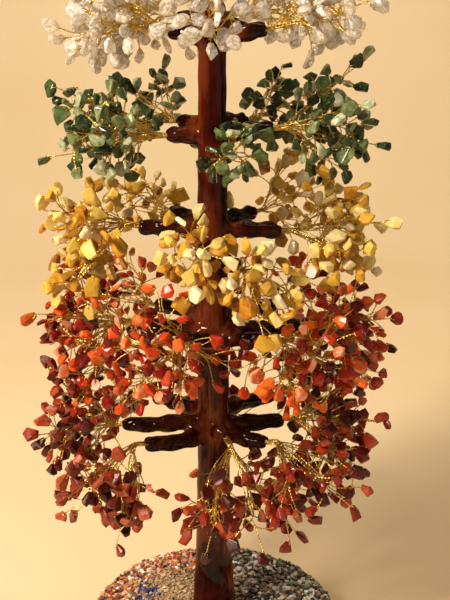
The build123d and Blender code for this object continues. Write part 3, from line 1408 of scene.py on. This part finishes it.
    def _hanging(self, stem: Run, lane: int) -> Run:
        """Lays a strand that hangs back under its branch.

        Args:
            stem: The stem that it leaves.
            lane: Number of the strand, which spreads them sideways.

        Returns:
            The strand.
        """
        draw, trails = self.draw, self.trails
        level = unit(stem.axis * (1, 1, 0))
        side = np.array((-level[1], level[0], 0.0))
        aside = trails.spread * (lane - (self.kind.trailers - 1) / 2)
        aside += draw.uniform(-trails.jitter, trails.jitter)
        back = draw.uniform(*trails.back_reach)
        way = unit(side * aside - level * back - (0, 0, draw.uniform(*trails.fall)))
        return Run(stem.end, stem.end + way * draw.uniform(*trails.millimetres) * MM)

    def _screening(self, stem: Run, drop: float) -> Run:
        """Lays a strand that ends behind the trunk.

        Args:
            stem: The stem that it leaves.
            drop: How far below the stem it ends.

        Returns:
            The strand, from part of the way on.
        """
        trails = self.trails
        aside = math.copysign(trails.screen_aside, stem.end[0])
        goal = np.array((aside, trails.screen_depth, stem.end[2] - drop))
        return Run(stem.end + trails.screen_start_share * (goal - stem.end), goal)

    def _companion(self, number: int, strand: Run, typical: np.ndarray) -> Seat:
        """Draws a place for one more stone on a strand.

        Args:
            number: Number of the strand.
            strand: The strand.
            typical: Usual size of this spray's stones.

        Returns:
            The stone's seat.
        """
        draw = self.draw
        share = float(draw.uniform(*self.kind.perch_shares))
        lean = draw.uniform(*self.lean_angles)
        way = math.cos(lean) * strand.axis + math.sin(lean) * square_to(strand.axis, draw.uniform(0, TURN))
        stalk = self.stalk_length * draw.uniform(*self.kind.stalk_shares)
        point = strand.at(share) + way * stalk
        broad = square_to(way, draw.uniform(0, TURN))
        size = typical * draw.uniform(*self.size_shares, 3)
        return self._swung(Seat(point, way, broad, size, number, share))

    def set_stones(self, chips: list[Pebble], material: bpy.types.Material) -> bpy.types.Object:
        """Makes the spray's stones.

        Args:
            chips: Shapes to choose from.
            material: Their finish.

        Returns:
            The piece.
        """
        heap = StoneHeap()
        draw = self.draw
        for seat in self.seats:
            growth = draw.uniform(*self.kind.growth_shares) * draw.uniform(*self.stretch_shares, 3)
            length, width, depth = seat.size * (growth * self.kind.plump_shares)
            flip = draw.choice((-1, 1))
            ways = np.array((flip * width * seat.broad, flip * depth * seat.flat, length * seat.axis))
            tone = draw.uniform(*self.kind.tone_shares)
            mark = (tone, draw.uniform(0, 1), draw.uniform(0, 1), 1.0)
            heap.add(chips[draw.integers(len(chips))], seat.point, ways, mark)
        piece = heap.make(f"{self.label}_chips", material, True)
        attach(piece, BODY)
        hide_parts(f"{self.label}_stones")
        return piece

    def twist_wires(self, loom: WireLoom, material: bpy.types.Material) -> bpy.types.Object:
        """Makes the spray's wires: carriers out of the branch tips, and a sprig for each other stone on them.

        Args:
            loom: Twists the wires.
            material: Their finish.

        Returns:
            The piece.
        """
        habit = self.wires
        carriers, sprigs = [], []
        for number in range(len(self.strands)):
            members = [seat for seat in self.seats if seat.strand == number]
            members.sort(key=lambda seat: -seat.perch_share)
            count = math.ceil(len(members) / habit.stones_per_wire)
            bow = habit.bow * self.draw.uniform(-1, 1, 3) + (0, 0, habit.bow / 2)
            phase = self.draw.uniform(0, TURN)
            for lane in range(count):
                carrier = self._carrier(members[lane], bow, phase + TURN * lane / count)
                carriers.append(carrier)
                sprigs += [self._sprig(seat, carrier) for seat in members[lane + count :: count]]
        meshes = [
            loom.twist(carriers, self.draw.uniform(0, TURN, len(carriers))),
            loom.twist(sprigs, self.draw.uniform(0, TURN, len(sprigs))),
            loom.bend([self._hook(seat) for seat in self.seats]),
        ]
        points, faces, spots = loom.joined(meshes, habit.map_shares)
        piece = MeshMaker.make(f"{self.label}_twists", points, faces, material, spots)
        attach(piece, BODY)
        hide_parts(f"{self.label}_wires")
        return piece

    def _hook(self, seat: Seat) -> np.ndarray:
        """Draws the loop of wire that goes through a stone's drilled end.

        Args:
            seat: The stone's seat.

        Returns:
            Points of the loop, from the twisted wire over one face, through the hole and back.
        """
        ways = np.array(self.wires.loop_millimetres) * MM
        rises = np.array(self.wires.loop_rise_shares) * seat.size[2]
        ways, rises = np.append(ways, ways[-2::-1]), np.append(rises, -rises[-2::-1])
        return seat.point + np.outer(ways, seat.axis) + np.outer(rises, seat.flat)

    def _carrier(self, seat: Seat, bow: np.ndarray, lane: float) -> np.ndarray:
        """Draws a wire from the branch tip along a strand to a stone.

        Args:
            seat: The stone's seat.
            bow: How far the strand is bent at its middle.
            lane: Angle about the strand on which the wire keeps off the others.

        Returns:
            Points of its middle line.
        """
        habit = self.wires
        strand = self.strands[seat.strand]
        stem = self.stems[self.stem_of[seat.strand]]
        first = stem.start - stem.axis * habit.tip_sink
        pull = np.linalg.norm(strand.start - first)
        root = arched(first, stem.axis * pull, strand.start, strand.axis * pull, habit.root_points)
        shares = np.linspace(0, seat.perch_share, habit.strand_points)[1:]
        bows = [bow * math.sin(math.pi * share) * habit.bow_share for share in shares]
        bundle = np.array([strand.at(share) + off for share, off in zip(shares, bows)])
        sprig = self._arc(seat, bundle[-1], strand.axis)
        path = WireLoom.spread(np.concatenate((root, bundle, sprig[1:])), habit.path_points)
        along = np.linspace(0, 1, len(path))
        swell = np.sin(math.pi * along)
        loose = habit.slack * self.draw.uniform(*habit.slack_shares)
        off = habit.tip_spread * (1 - eased(along / habit.tip_spread_share)) + loose * swell**2
        kinks = habit.wave * np.sin(TURN * along * self.draw.uniform(*habit.wave_counts) + lane) * swell
        aside, across = (square_to(strand.axis, turn) for turn in (lane, lane + habit.wave_turn))
        return path + np.outer(off, aside) + np.outer(kinks, across)

    def _sprig(self, seat: Seat, carrier: np.ndarray) -> np.ndarray:
        """Draws a wire that leaves a carrier for a stone of its own.

        Args:
            seat: The stone's seat.
            carrier: Points of the carrier.

        Returns:
            Points of its middle line.
        """
        perch = self.strands[seat.strand].at(seat.perch_share)
        near = int(np.argmin(np.linalg.norm(carrier[: -self.wires.end_points] - perch, axis=1)))
        return self._arc(seat, carrier[near], unit(carrier[near + 1] - carrier[near]))

    def _arc(self, seat: Seat, start: np.ndarray, way: np.ndarray) -> np.ndarray:
        """Draws the last arc of a wire, into the stone's drilled end."""
        last = seat.point + seat.axis * self.wires.stone_sink
        reach = np.linalg.norm(last - start)
        leave, arrive = self.wires.pull_shares
        return arched(start, way * reach * leave, last, seat.axis * reach * arrive, self.wires.arc_points)


@dataclass(frozen=True)
class CordPattern:
    """Rounded cords of wire that show through lacquer, in layers of different counts."""

    counts: tuple[int, ...]
    phase_step: float = 0.8
    wander: float = 0.7
    wander_waves: Pair = (0.5, 0.3)
    level: float = 0.75
    roll: float = 0.3
    roll_wave: float = 2.1

    def heights(self, turn: np.ndarray, along: np.ndarray) -> np.ndarray:
        """Sums the cords, with narrow grooves between them.

        Args:
            turn: Angle about the axis.
            along: Way along the axis.

        Returns:
            Heights about 0.
        """
        total = np.zeros_like(turn)
        first, step = self.wander_waves
        for layer, count in enumerate(self.counts):
            lean = self.wander * np.sin(along * (first + step * layer))
            wave = np.abs(np.sin(count * turn / 2 + self.phase_step * layer + lean))
            total += (np.sqrt(wave) - self.level) / (layer + 1)
        return total + self.roll * np.sin(along * self.roll_wave + 2 * np.sin(turn))


@dataclass
class LacquerSkin:
    """The trunk and its branches under one coat of lacquer."""

    voxel: float = 1.15 * MM
    trunk_rings: int = 160
    trunk_sides: int = 48
    branch_rings: int = 40
    branch_sides: int = 20
    branch_waist_radius: float = 6.5 * MM
    branch_tip_radius: float = 3.6 * MM
    nose_share: float = 0.17
    girth_place_shares: tuple[float, ...] = (0, 0.3, 0.6, 1)
    girth_shares: tuple[float, ...] = (1.25, 1.0, 0.92, 0.86)
    sway: float = 2.0 * MM
    swell_share: float = 0.08
    swell_waves: Pair = (14, 22)
    seed: int = 5
    fillet_start: float = 13 * MM
    fillet_reach: float = 24 * MM
    smooth_steps: int = 22
    even_steps: int = 5
    smooth_share: float = 0.5
    ridge_height: float = 0.55 * MM
    trunk_lay: float = 40 * MM
    trunk_cords: CordPattern = CordPattern((9, 14, 23))
    trunk_lean: float = 0.12
    trunk_lean_wave: float = 0.9
    trunk_cord_share: float = 0.5
    lump_share: float = 0.4
    lump_waves: Pair = (5.3, 1.9)
    ripple_share: float = 0.15
    ripple_wave: float = 11.3
    branch_lay: float = 18 * MM
    branch_cords: CordPattern = CordPattern((5, 8))
    branch_lean: float = 0.5
    branch_lean_wave: float = 1.7
    branch_cord_share: float = 2.0
    knot_share: float = 0.7
    knot_waves: Triple = (4.3, 2.1, 7.1)
    blend_start: float = 1.0 * MM
    blend_reach: float = 6 * MM

    def branches(self, sprays: list[Spray]) -> list[Run]:
        """Finds the branches from the stems on their tips.

        Args:
            sprays: All sprays.

        Returns:
            Each branch from the middle of the trunk to its tip.
        """
        found = []
        for spray in sprays:
            if spray.side is Side.CROWN:
                continue
            for stem in spray.stems:
                level = stem.axis[:2]
                root = stem.start - stem.axis * (stem.start[:2] @ level) / (level @ level)
                found.append(Run(root, stem.start))
        return found

    @staticmethod
    def tube(form: bmesh.types.BMesh, path: np.ndarray, radii: np.ndarray, sides: int) -> None:
        """Adds a closed tube.

        Args:
            form: Mesh to add to.
            path: Its middle line.
            radii: Its radius at each point.
            sides: Corners of its rings.
        """
        first, second = WireLoom.carried(path[None])
        rings = []
        for point, one, two, radius in zip(path, first[0], second[0], radii):
            turns = np.arange(sides) * TURN / sides
            corners = point + radius * (np.cos(turns)[:, None] * one + np.sin(turns)[:, None] * two)
            rings.append([form.verts.new(corner) for corner in corners])
        for low, high in zip(rings, rings[1:]):
            for side in range(sides):
                after = (side + 1) % sides
                form.faces.new((low[side], low[after], high[after], high[side]))
        form.faces.new(rings[0][::-1])
        form.faces.new(rings[-1])

    def core(self, column: np.ndarray, branches: list[Run]) -> bpy.types.Object:
        """Joins the plain trunk and branches into one closed skin.

        Args:
            column: Height and radius of the trunk's rings.
            branches: The branches.

        Returns:
            The skin, still without ridges.
        """
        form = bmesh.new()
        heights = np.linspace(column[0, 0], column[-1, 0], self.trunk_rings)
        radii = np.interp(heights, column[:, 0], column[:, 1])
        path = np.stack((0 * heights, 0 * heights, heights), axis=1)
        self.tube(form, path, radii, self.trunk_sides)
        draw = np.random.default_rng(self.seed)
        shares = np.linspace(0, 1, self.branch_rings)
        past = np.clip((shares - 1 + self.nose_share) / self.nose_share, 0, 1)
        nose = np.sqrt(np.clip(1 - past**2, 0.0, 1))
        girth = self.branch_waist_radius * np.interp(shares, self.girth_place_shares, self.girth_shares)
        for branch in branches:
            sway = np.outer(np.sin(math.pi * shares), draw.normal(size=3) * self.sway)
            path = branch.start + np.outer(shares, branch.end - branch.start) + sway
            radii = self.branch_tip_radius + (girth - self.branch_tip_radius) * nose
            swell = np.sin(shares * draw.uniform(*self.swell_waves) + draw.uniform(0, TURN))
            radii *= 1 + self.swell_share * swell
            self.tube(form, path, radii, self.branch_sides)
        mesh = bpy.data.meshes.new("skin_core")
        form.to_mesh(mesh)
        form.free()
        core = bpy.data.objects.new("skin_core", mesh)
        bpy.context.scene.collection.objects.link(core)
        remesh = core.modifiers.new("one_skin", "REMESH")
        remesh.mode = "VOXEL"
        remesh.voxel_size = self.voxel
        return core

    def build(
        self, column: np.ndarray, sprays: list[Spray], material: bpy.types.Material
    ) -> bpy.types.Object:
        """Makes the lacquered trunk with its branches.

        Args:
            column: Height and radius of the trunk's rings.
            sprays: All sprays.
            material: The lacquer.

        Returns:
            The piece.
        """
        branches = self.branches(sprays)
        core = self.core(column, branches)
        graph = bpy.context.evaluated_depsgraph_get()
        mesh = bpy.data.meshes.new_from_object(core.evaluated_get(graph))
        bpy.data.objects.remove(core)
        points = np.empty(len(mesh.vertices) * 3)
        mesh.vertices.foreach_get("co", points)
        points = points.reshape(-1, 3)
        edges = np.empty(len(mesh.edges) * 2, np.int32)
        mesh.edges.foreach_get("vertices", edges)
        points = self.smoothed(points, edges.reshape(-1, 2), branches)
        mesh.vertices.foreach_set("co", points.ravel())
        mesh.update()
        normals = np.empty(len(mesh.vertices) * 3)
        mesh.vertices.foreach_get("normal", normals)
        points += normals.reshape(-1, 3) * self.ridges(points, column, branches)[:, None]
        mesh.vertices.foreach_set("co", points.ravel())
        mesh.update()
        mesh.shade_smooth()
        mesh.materials.clear()
        mesh.materials.append(material)
        piece = bpy.data.objects.new("lacquered_trunk", mesh)
        bpy.context.scene.collection.objects.link(piece)
        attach(piece, BODY)
        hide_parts("trunk", *(f"{tier.value}_branches" for tier in Tier))
        return piece

    def smoothed(self, points: np.ndarray, edges: np.ndarray, branches: list[Run]) -> np.ndarray:
        """Rounds the corners between trunk and branches and takes the steps out of the skin.

        Args:
            points: The skin's points.
            edges: Pairs of neighbours.
            branches: The branches.

        Returns:
            The points after smoothing.
        """
        degree = np.bincount(edges.ravel(), minlength=len(points))[:, None]
        roots = [branch.start + branch.axis * self.fillet_start for branch in branches]
        near = np.min([np.linalg.norm(points - root, axis=1) for root in roots], axis=0)
        fillet = eased(1 - near / self.fillet_reach)[:, None]
        for step in range(self.smooth_steps):
            weight = self.smooth_share * (fillet if step >= self.even_steps else 1)
            total = np.stack(
                [
                    np.bincount(edges[:, 0], points[edges[:, 1], axis], len(points))
                    + np.bincount(edges[:, 1], points[edges[:, 0], axis], len(points))
                    for axis in range(3)
                ],
                axis=1,
            )
            points = points + weight * (total / degree - points)
        return points

    def ridges(self, points: np.ndarray, column: np.ndarray, branches: list[Run]) -> np.ndarray:
        """Works out how far the wrapped wires stand out under the lacquer.

        Args:
            points: The skin's points.
            column: Height and radius of the trunk's rings.
            branches: The branches.

        Returns:
            A height for each point.
        """
        turn = np.arctan2(points[:, 1], points[:, 0])
        height = points[:, 2] / self.trunk_lay
        lean = self.trunk_lean * np.sin(height * self.trunk_lean_wave)
        result = self.trunk_cord_share * self.trunk_cords.heights(turn + lean, height)
        quick, slow = self.lump_waves
        lumps = self.lump_share * np.sin(height * quick + 2 * np.sin(turn + height))
        result += lumps * np.sin(turn * 2 + height * slow)
        result += self.ripple_share * np.sin(height * self.ripple_wave + 3 * turn)
        radius = np.interp(points[:, 2], column[:, 0], column[:, 1])
        outside = np.hypot(points[:, 0], points[:, 1]) - radius
        gaps = np.array([branch.distance(points) for branch in branches])
        nearest = np.argmin(gaps, axis=0)
        for number, branch in enumerate(branches):
            mine = nearest == number
            reach = points[mine] - branch.start
            first = square_to(branch.axis, 0)
            second = np.cross(branch.axis, first)
            angle = np.arctan2(reach @ second, reach @ first) + number
            along = reach @ branch.axis / self.branch_lay
            relief = self.branch_relief(angle, along, number)
            share = eased((outside[mine] - self.blend_start) / self.blend_reach)
            result[mine] = result[mine] * (1 - share) + relief * share
        return result * self.ridge_height

    def branch_relief(self, angle: np.ndarray, along: np.ndarray, number: int) -> np.ndarray:
        """Works out the cords and knots of one branch.

        Args:
            angle: Angle about the branch.
            along: Way along it.
            number: Number of the branch, which makes each one different.

        Returns:
            Heights about 0.
        """
        lean = self.branch_lean * np.sin(along * self.branch_lean_wave + number)
        cords = self.branch_cords.heights(angle + lean, along)
        first, second, third = self.knot_waves
        knots = np.sin(along * first + number) * np.sin(2 * angle + along * second)
        knots = knots + np.sin(along * third + 3 * angle)
        return cords * self.branch_cord_share + knots * self.knot_share


class GravelMix(Enum):
    """Mixes of crushed stone on the base, each with its grains' colours."""

    WARM = ("d8804a", "b4462c", "ecc4a4", "8c4a34", "f4e4d0", "d6a456", "423a42", "d4a488", "e08c68")
    SAND = ("d0ae82", "be9a70", "dcc096", "a88660", "d2b48a", "b4946c")
    DARK = (
        "20241e", "3c4234", "6a6650", "d8ccb0", "121410", "cc9c84", "ffffff", "3c2820", "ece0cc", "8a9a78",
    )
    BLUE = ("2a3a78", "3c4c90", "4a5a86", "20284e", "7a84a0")


@dataclass(frozen=True)
class GravelPatch:
    """A round patch of one mix. Its middle and radius are in millimetres."""

    mix: GravelMix
    x: float
    y: float
    radius: float


@dataclass
class GravelBase:
    """Gravel that is glued over the plinth, in mixes that lie side by side."""

    grain_size: float = 5.8 * MM
    sand_size: float = 4.2 * MM
    spacing: float = 2.9 * MM
    row_share: float = 0.87
    jitter_share: float = 0.35
    lift_shares: Pair = (-0.1, 0.3)
    flat_share: float = 0.75
    growth_shares: Pair = (0.6, 1.1)
    stretch_shares: Pair = (0.7, 1.35)
    light_shares: Pair = (0.65, 1.2)
    seed: int = 31
    shape_count: int = 24
    patches: tuple[GravelPatch, ...] = (
        GravelPatch(GravelMix.BLUE, -58, 18, 9),
        GravelPatch(GravelMix.BLUE, -20, -72, 8),
        GravelPatch(GravelMix.SAND, -34, 26, 30),
        GravelPatch(GravelMix.SAND, 30, -48, 24),
    )
    blur_millimetres: float = 5
    dark_edge_millimetres: float = 2
    dark_slope: float = 0.15

    def mix_at(self, place: np.ndarray, draw: np.random.Generator) -> GravelMix:
        """Chooses the mix at a place on the base.

        Args:
            place: Point on the gravel.
            draw: Random draws that blur the edges between the mixes.

        Returns:
            The mix.
        """
        x, y = place[:2] / MM + draw.normal(size=2) * self.blur_millimetres
        for patch in self.patches:
            if math.hypot(x - patch.x, y - patch.y) < patch.radius:
                return patch.mix
        if x > self.dark_edge_millimetres + self.dark_slope * y:
            return GravelMix.DARK
        return GravelMix.WARM

    def places(self, profile: np.ndarray, draw: np.random.Generator) -> list[tuple[np.ndarray, np.ndarray]]:
        """Spreads grains evenly over a turned surface.

        Args:
            profile: Radius and height of the surface's edges, from the outside in.
            draw: Random draws.

        Returns:
            Place and outward direction of each grain.
        """
        found = []
        jitter = self.jitter_share
        for (r0, z0), (r1, z1) in zip(profile, profile[1:]):
            width = math.hypot(r1 - r0, z1 - z0)
            facing = np.array((z1 - z0, r0 - r1)) / width
            rows = max(1, round(width / (self.spacing * self.row_share)))
            for row in range(rows):
                share = (row + 1 / 2) / rows
                radius = r0 + (r1 - r0) * share
                count = max(1, round(TURN * radius / self.spacing))
                for number in range(count):
                    turn = TURN * (number + (row % 2) / 2 + draw.uniform(-jitter, jitter)) / count
                    shift = share + draw.uniform(-jitter, jitter) / rows
                    r, z = r0 + (r1 - r0) * shift, z0 + (z1 - z0) * shift
                    spin = np.array((math.cos(turn), math.sin(turn)))
                    found.append((np.array((*(r * spin), z)), np.array((*(facing[0] * spin), facing[1]))))
        return found

    def build(self, profile: np.ndarray, material: bpy.types.Material) -> bpy.types.Object:
        """Makes the grains.

        Args:
            profile: Radius and height of the gravel's edges, from the outside in.
            material: Their finish.

        Returns:
            The piece.
        """
        cutter = GrainCutter(self.seed)
        shapes = [cutter.grain() for _ in range(self.shape_count)]
        draw = np.random.default_rng(self.seed)
        heap = StoneHeap()
        for place, facing in self.places(profile, draw):
            mix = self.mix_at(place, draw)
            size = self.sand_size if mix is GravelMix.SAND else self.grain_size
            place = place + facing * size * draw.uniform(*self.lift_shares)
            first = square_to(facing, draw.uniform(0, TURN))
            ways = np.array((first, np.cross(facing, first), facing * self.flat_share))
            stretch = size * draw.uniform(*self.growth_shares) * draw.uniform(*self.stretch_shares, 3)
            ways = ways * stretch[:, None]
            tint = paint(mix.value[draw.integers(len(mix.value))])
            mark = (*(np.array(tint) * draw.uniform(*self.light_shares)), 1.0)
            heap.add(shapes[draw.integers(self.shape_count)], place, ways, mark)
        piece = heap.make("gravel_grains", material, False)
        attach(piece, BODY)
        return piece


@dataclass(frozen=True)
class Lamp:
    """A soft square lamp, with its power in watts and the point that it faces."""

    name: str
    place: Triple
    side: float
    power: float
    tint: str
    aim: Triple

    def hang(self) -> None:
        """Hangs the lamp in the scene."""
        light = bpy.data.lights.new(self.name, "AREA")
        light.size = self.side
        light.energy = self.power
        light.color = paint(self.tint)
        lamp = bpy.data.objects.new(self.name, light)
        lamp.location = self.place
        way = np.array(self.aim) - np.array(self.place)
        level = math.hypot(way[0], way[1])
        lamp.rotation_euler = (math.atan2(level, -way[2]), 0, math.atan2(-way[0], way[1]))
        bpy.context.scene.collection.objects.link(lamp)


TREE_MIDDLE: Triple = (0.0089, 0.0, 0.297)


@dataclass
class Studio:
    """Pale floor that sweeps up behind the tree, soft lamps and the camera."""

    floor_reach: float = 3.0
    sweep_start: float = 1.1
    sweep_radius: float = 0.9
    sweep_points: int = 24
    floor_tints: tuple[str, str] = ("f3d8ab", "f6dfb8")
    floor_edges: Pair = (0.3, 0.7)
    floor_light_shares: Pair = (0.98, 0.04)
    floor_gloss: float = 0.7
    floor_gloss_spread: float = 0.1
    haze_size: float = 0.4
    haze_detail: float = 2.0
    room_tint: str = "fff4e4"
    room_strength: float = 0.14
    distance: float = 0.74
    elevation: float = math.radians(17)
    lens: float = 60.0
    clip_start: float = 0.02
    lamps: tuple[Lamp, ...] = (
        Lamp("key_lamp", (-1.05, -0.95, 1.35), 0.4, 45, "fff0da", TREE_MIDDLE),
        Lamp("fill_lamp", (1.2, -0.9, 0.55), 1.1, 1.2, "fff4e6", TREE_MIDDLE),
        Lamp("sweep_lamp", (0.2, 0.45, 1.75), 0.9, 15, "fff2e0", (0.0, 1.9, 0.75)),
    )

    def floor(self) -> bpy.types.Object:
        """Makes the floor and its sweep.

        Returns:
            The floor.
        """
        turns = np.linspace(0, math.pi / 2, self.sweep_points)
        bend = [
            (self.sweep_start + self.sweep_radius * math.sin(turn), self.sweep_radius * (1 - math.cos(turn)))
            for turn in turns
        ]
        line = [(-self.floor_reach, 0.0), *bend, (bend[-1][0], self.floor_reach)]
        points = np.array([(x, y, z) for y, z in line for x in (-self.floor_reach, self.floor_reach)])
        start = np.arange(len(line) - 1)[:, None] * 2
        faces = start + np.array((0, 1, 3, 2))
        floor = MeshMaker.make("floor", points, faces, self.floor_material())
        floor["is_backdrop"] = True
        return floor

    def floor_material(self) -> bpy.types.Material:
        """Makes the floor's pale finish."""
        finish = FinishTree("floor")
        haze = finish.cloud(self.haze_size, self.haze_detail)
        least, added = self.floor_light_shares
        tint = finish.ramp(haze, tuple(zip(self.floor_edges, self.floor_tints)))
        tint = finish.lit(tint, haze * added + least)
        gloss = haze * self.floor_gloss_spread + self.floor_gloss
        return finish.dress({"Base Color": tint, "Roughness": gloss})

    def light(self) -> None:
        """Hangs the lamps and sets the light of the room."""
        for lamp in self.lamps:
            lamp.hang()
        world = bpy.data.worlds.new("room")
        world.use_nodes = True
        ground = next(node for node in world.node_tree.nodes if node.type == "BACKGROUND")
        ground.inputs["Color"].default_value = (*paint(self.room_tint), 1)
        ground.inputs["Strength"].default_value = self.room_strength
        bpy.context.scene.world = world
        bpy.context.scene.view_settings.view_transform = "Standard"

    def camera(self) -> None:
        """Sets up the camera at the photograph's height and distance."""
        data = bpy.data.cameras.new("camera")
        data.lens = self.lens
        data.clip_start = self.clip_start
        camera = bpy.data.objects.new("camera", data)
        back = np.array((0, -math.cos(self.elevation), math.sin(self.elevation))) * self.distance
        camera.location = np.array(TREE_MIDDLE) + back
        camera.rotation_euler = (math.pi / 2 - self.elevation, 0, 0)
        bpy.context.scene.collection.objects.link(camera)
        bpy.context.scene.camera = camera


KINDS: dict[Tier, StoneKind] = {
    Tier.JASPER: StoneKind(
        cut=ChipCut(corner_counts=(4, 6), neck_share=0.9, inset_share=0.55, bevel_share=0.03),
        finish=StoneFinish(
            stops=((0.0, "240805"), (0.3, "501109"), (0.6, "821f0e"), (0.85, "a63918"), (1.0, "b46644")),
            cloud_reach=0.35,
            cloud_size=5 * MM,
            gloss=0.3,
            fleck_share=0.5,
        ),
        growth_shares=(0.82, 1.22),
        companions=10,
        tone_shares=(0.12, 0.95),
        stalk_shares=(0.5, 1.8),
    ),
    Tier.CARNELIAN: StoneKind(
        cut=ChipCut(corner_counts=(4, 7), neck_share=0.95, inset_share=0.5, bevel_share=0.05),
        finish=StoneFinish(
            stops=((0.0, "3e0906"), (0.25, "8c1a0c"), (0.55, "c23c12"), (0.82, "dc681e"), (1.0, "d9a083")),
            cloud_reach=0.5,
            cloud_size=6 * MM,
            gloss=0.24,
            glow=0.25,
            glow_reach=2.5 * MM,
        ),
        growth_shares=(0.76, 1.16),
        companions=11,
        tone_shares=(0.0, 0.95),
        stalk_shares=(0.5, 2.1),
        trailers=2,
    ),
    Tier.YELLOW_JADE: StoneKind(
        cut=ChipCut(corner_counts=(4, 6), neck_share=0.9, inset_share=0.5, bevel_share=0.04),
        finish=StoneFinish(
            stops=((0.0, "98580f"), (0.2, "c08a28"), (0.5, "dab040"), (0.75, "e6c86c"), (1.0, "f0e4be")),
            cloud_reach=0.5,
            cloud_size=5 * MM,
            gloss=0.26,
            glow=0.3,
            glow_reach=2.5 * MM,
        ),
        growth_shares=(0.68, 1.08),
        companions=8,
        tone_shares=(0.05, 0.98),
    ),
    Tier.AVENTURINE: StoneKind(
        cut=ChipCut(
            corner_counts=(5, 8), neck_share=0.9, inset_share=0.55, bevel_share=0.05, uneven_share=0.28
        ),
        finish=StoneFinish(
            stops=((0.0, "102416"), (0.35, "3a4c28"), (0.7, "727f4c"), (1.0, "c4c9a8")),
            cloud_reach=0.7,
            cloud_size=4 * MM,
            gloss=0.16,
            glow=0.25,
            glow_ways=(0.7, 1.0, 0.4),
            fleck="a4ac78",
            fleck_share=0.25,
        ),
        growth_shares=(0.8, 1.15),
        companions=9,
        tone_shares=(0.02, 0.95),
        perch_shares=(0.0, 1.0),
        stalk_shares=(0.35, 1.1),
    ),
    Tier.QUARTZ: StoneKind(
        cut=ChipCut(
            corner_counts=(7, 9),
            neck_share=0.95,
            inset_share=0.62,
            bevel_share=0.1,
            uneven_share=0.25,
            reach_shares=(0.8, 1.0),
        ),
        finish=StoneFinish(
            stops=((0.0, "bcae9c"), (0.35, "dacfc0"), (0.65, "ece4da"), (1.0, "fbf8f4")),
            cloud_reach=1.1,
            cloud_size=3 * MM,
            gloss=0.08,
            glow=0.35,
            glow_reach=3 * MM,
            glow_ways=(1.0, 0.92, 0.8),
            clear=0.2,
            shine=0.5,
            coat=0.12,
            fleck="a88c74",
            fleck_share=0.5,
            veil_shares=(0.3, 0.95),
            veil_size=2.6 * MM,
            dent_size=2.2 * MM,
            dent_depth=0.45 * MM,
        ),
        growth_shares=(0.76, 1.1),
        companions=9,
        tone_shares=(0.25, 0.9),
    ),
}


@dataclass
class GemTree:
    """The whole ornament: sprays, trunk and base."""

    nodes: dict[str, bpy.types.Object]
    spray_seed: int = 100
    cutter_seed: int = 40
    chip_shapes: int = 24
    branch_room: float = 7 * MM
    trunk_room: float = 15 * MM
    trunk_collar: float = 1 * MM
    bed: MortarFinish = MortarFinish("54483a", "a08a6a", 1.5 * MM)
    plinth: MortarFinish = MortarFinish("5c5248", "8c8074", 3 * MM)

    def __post_init__(self) -> None:
        """Sets out a spray for each side that the frame has."""
        self.solids = FrameSolids(self.nodes)
        sides = [(tier, side) for tier in Tier for side in Side]
        wanted = [pair for pair in sides if f"{pair[0].value}_{pair[1].value}_wires" in self.nodes]
        self.sprays = [
            Spray(tier, side, KINDS[tier], self.spray_seed + number)
            for number, (tier, side) in enumerate(wanted)
        ]

    def build(self) -> None:
        """Makes all the pieces and dresses the frame's own nodes that still show."""
        brass = BrassFinish().material("brass_wire")
        low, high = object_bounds()
        self.grow(np.array(low), np.array(high))
        self.hang_stones()
        loom = WireLoom()
        for spray in self.sprays:
            report(spray.twist_wires(loom, brass))
        lacquer = LacquerFinish().material("lacquer")
        report(LacquerSkin().build(self.solids.column("trunk"), self.sprays, lacquer))
        report(self.lay_gravel())
        self.dress("trunk_core", brass)
        self.dress("gravel_bed", self.bed.material("gravel_bed"))
        self.dress("base_plinth", self.plinth.material("plinth"))

    def grow(self, low: np.ndarray, high: np.ndarray) -> None:
        """Reads the sprays and crowds them with companion stones.

        Args:
            low: Lowest corner of the frame's box.
            high: Highest corner of the frame's box.
        """
        thicket = Thicket()
        for spray in self.sprays:
            spray.read(self.solids)
            spray.trail()
            spray.claim(thicket)
        for branch in LacquerSkin().branches(self.sprays):
            thicket.take_run(branch, self.branch_room)
        foot, *_, top = self.solids.column("trunk")[:, 0]
        thicket.take_run(Run(np.array((0, 0, foot)), np.array((0, 0, top))), self.trunk_room)
        for spray in self.sprays:
            spray.crowd(thicket, low, high)

    def hang_stones(self) -> None:
        """Makes the stones of every spray."""
        for number, tier in enumerate(Tier):
            kind = KINDS[tier]
            cutter = ChipCutter(kind.cut, self.cutter_seed + number)
            chips = [cutter.chip() for _ in range(self.chip_shapes)]
            material = kind.finish.material(tier.value)
            for spray in self.sprays:
                if spray.tier is tier:
                    report(spray.set_stones(chips, material))

    def lay_gravel(self) -> bpy.types.Object:
        """Lays the grains over the gravel bed.

        Returns:
            The piece.
        """
        rings = self.solids.column("gravel_bed")
        profile = [(radius, height) for height, radius in rings]
        foot = float(self.solids.column("trunk")[0, 1])
        profile[-1] = (foot + self.trunk_collar, profile[-1][1])
        return GravelBase().build(np.array(profile), GrainFinish().material("gravel"))

    def dress(self, name: str, material: bpy.types.Material) -> None:
        """Gives a node of the frame its finish."""
        mesh = self.nodes[name].data
        mesh.materials.clear()
        mesh.materials.append(material)


def report(piece: bpy.types.Object) -> None:
    """Logs a piece and its size."""
    LOG.info("%s: %d faces", piece.name, len(piece.data.polygons))


def main() -> None:
    """Builds the ornament and its studio."""
    logging.basicConfig(level=logging.INFO, format="%(message)s")
    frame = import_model()
    GemTree(frame["nodes"]).build()
    studio = Studio()
    studio.floor()
    studio.light()
    studio.camera()


if __name__ == "__main__":
    main()
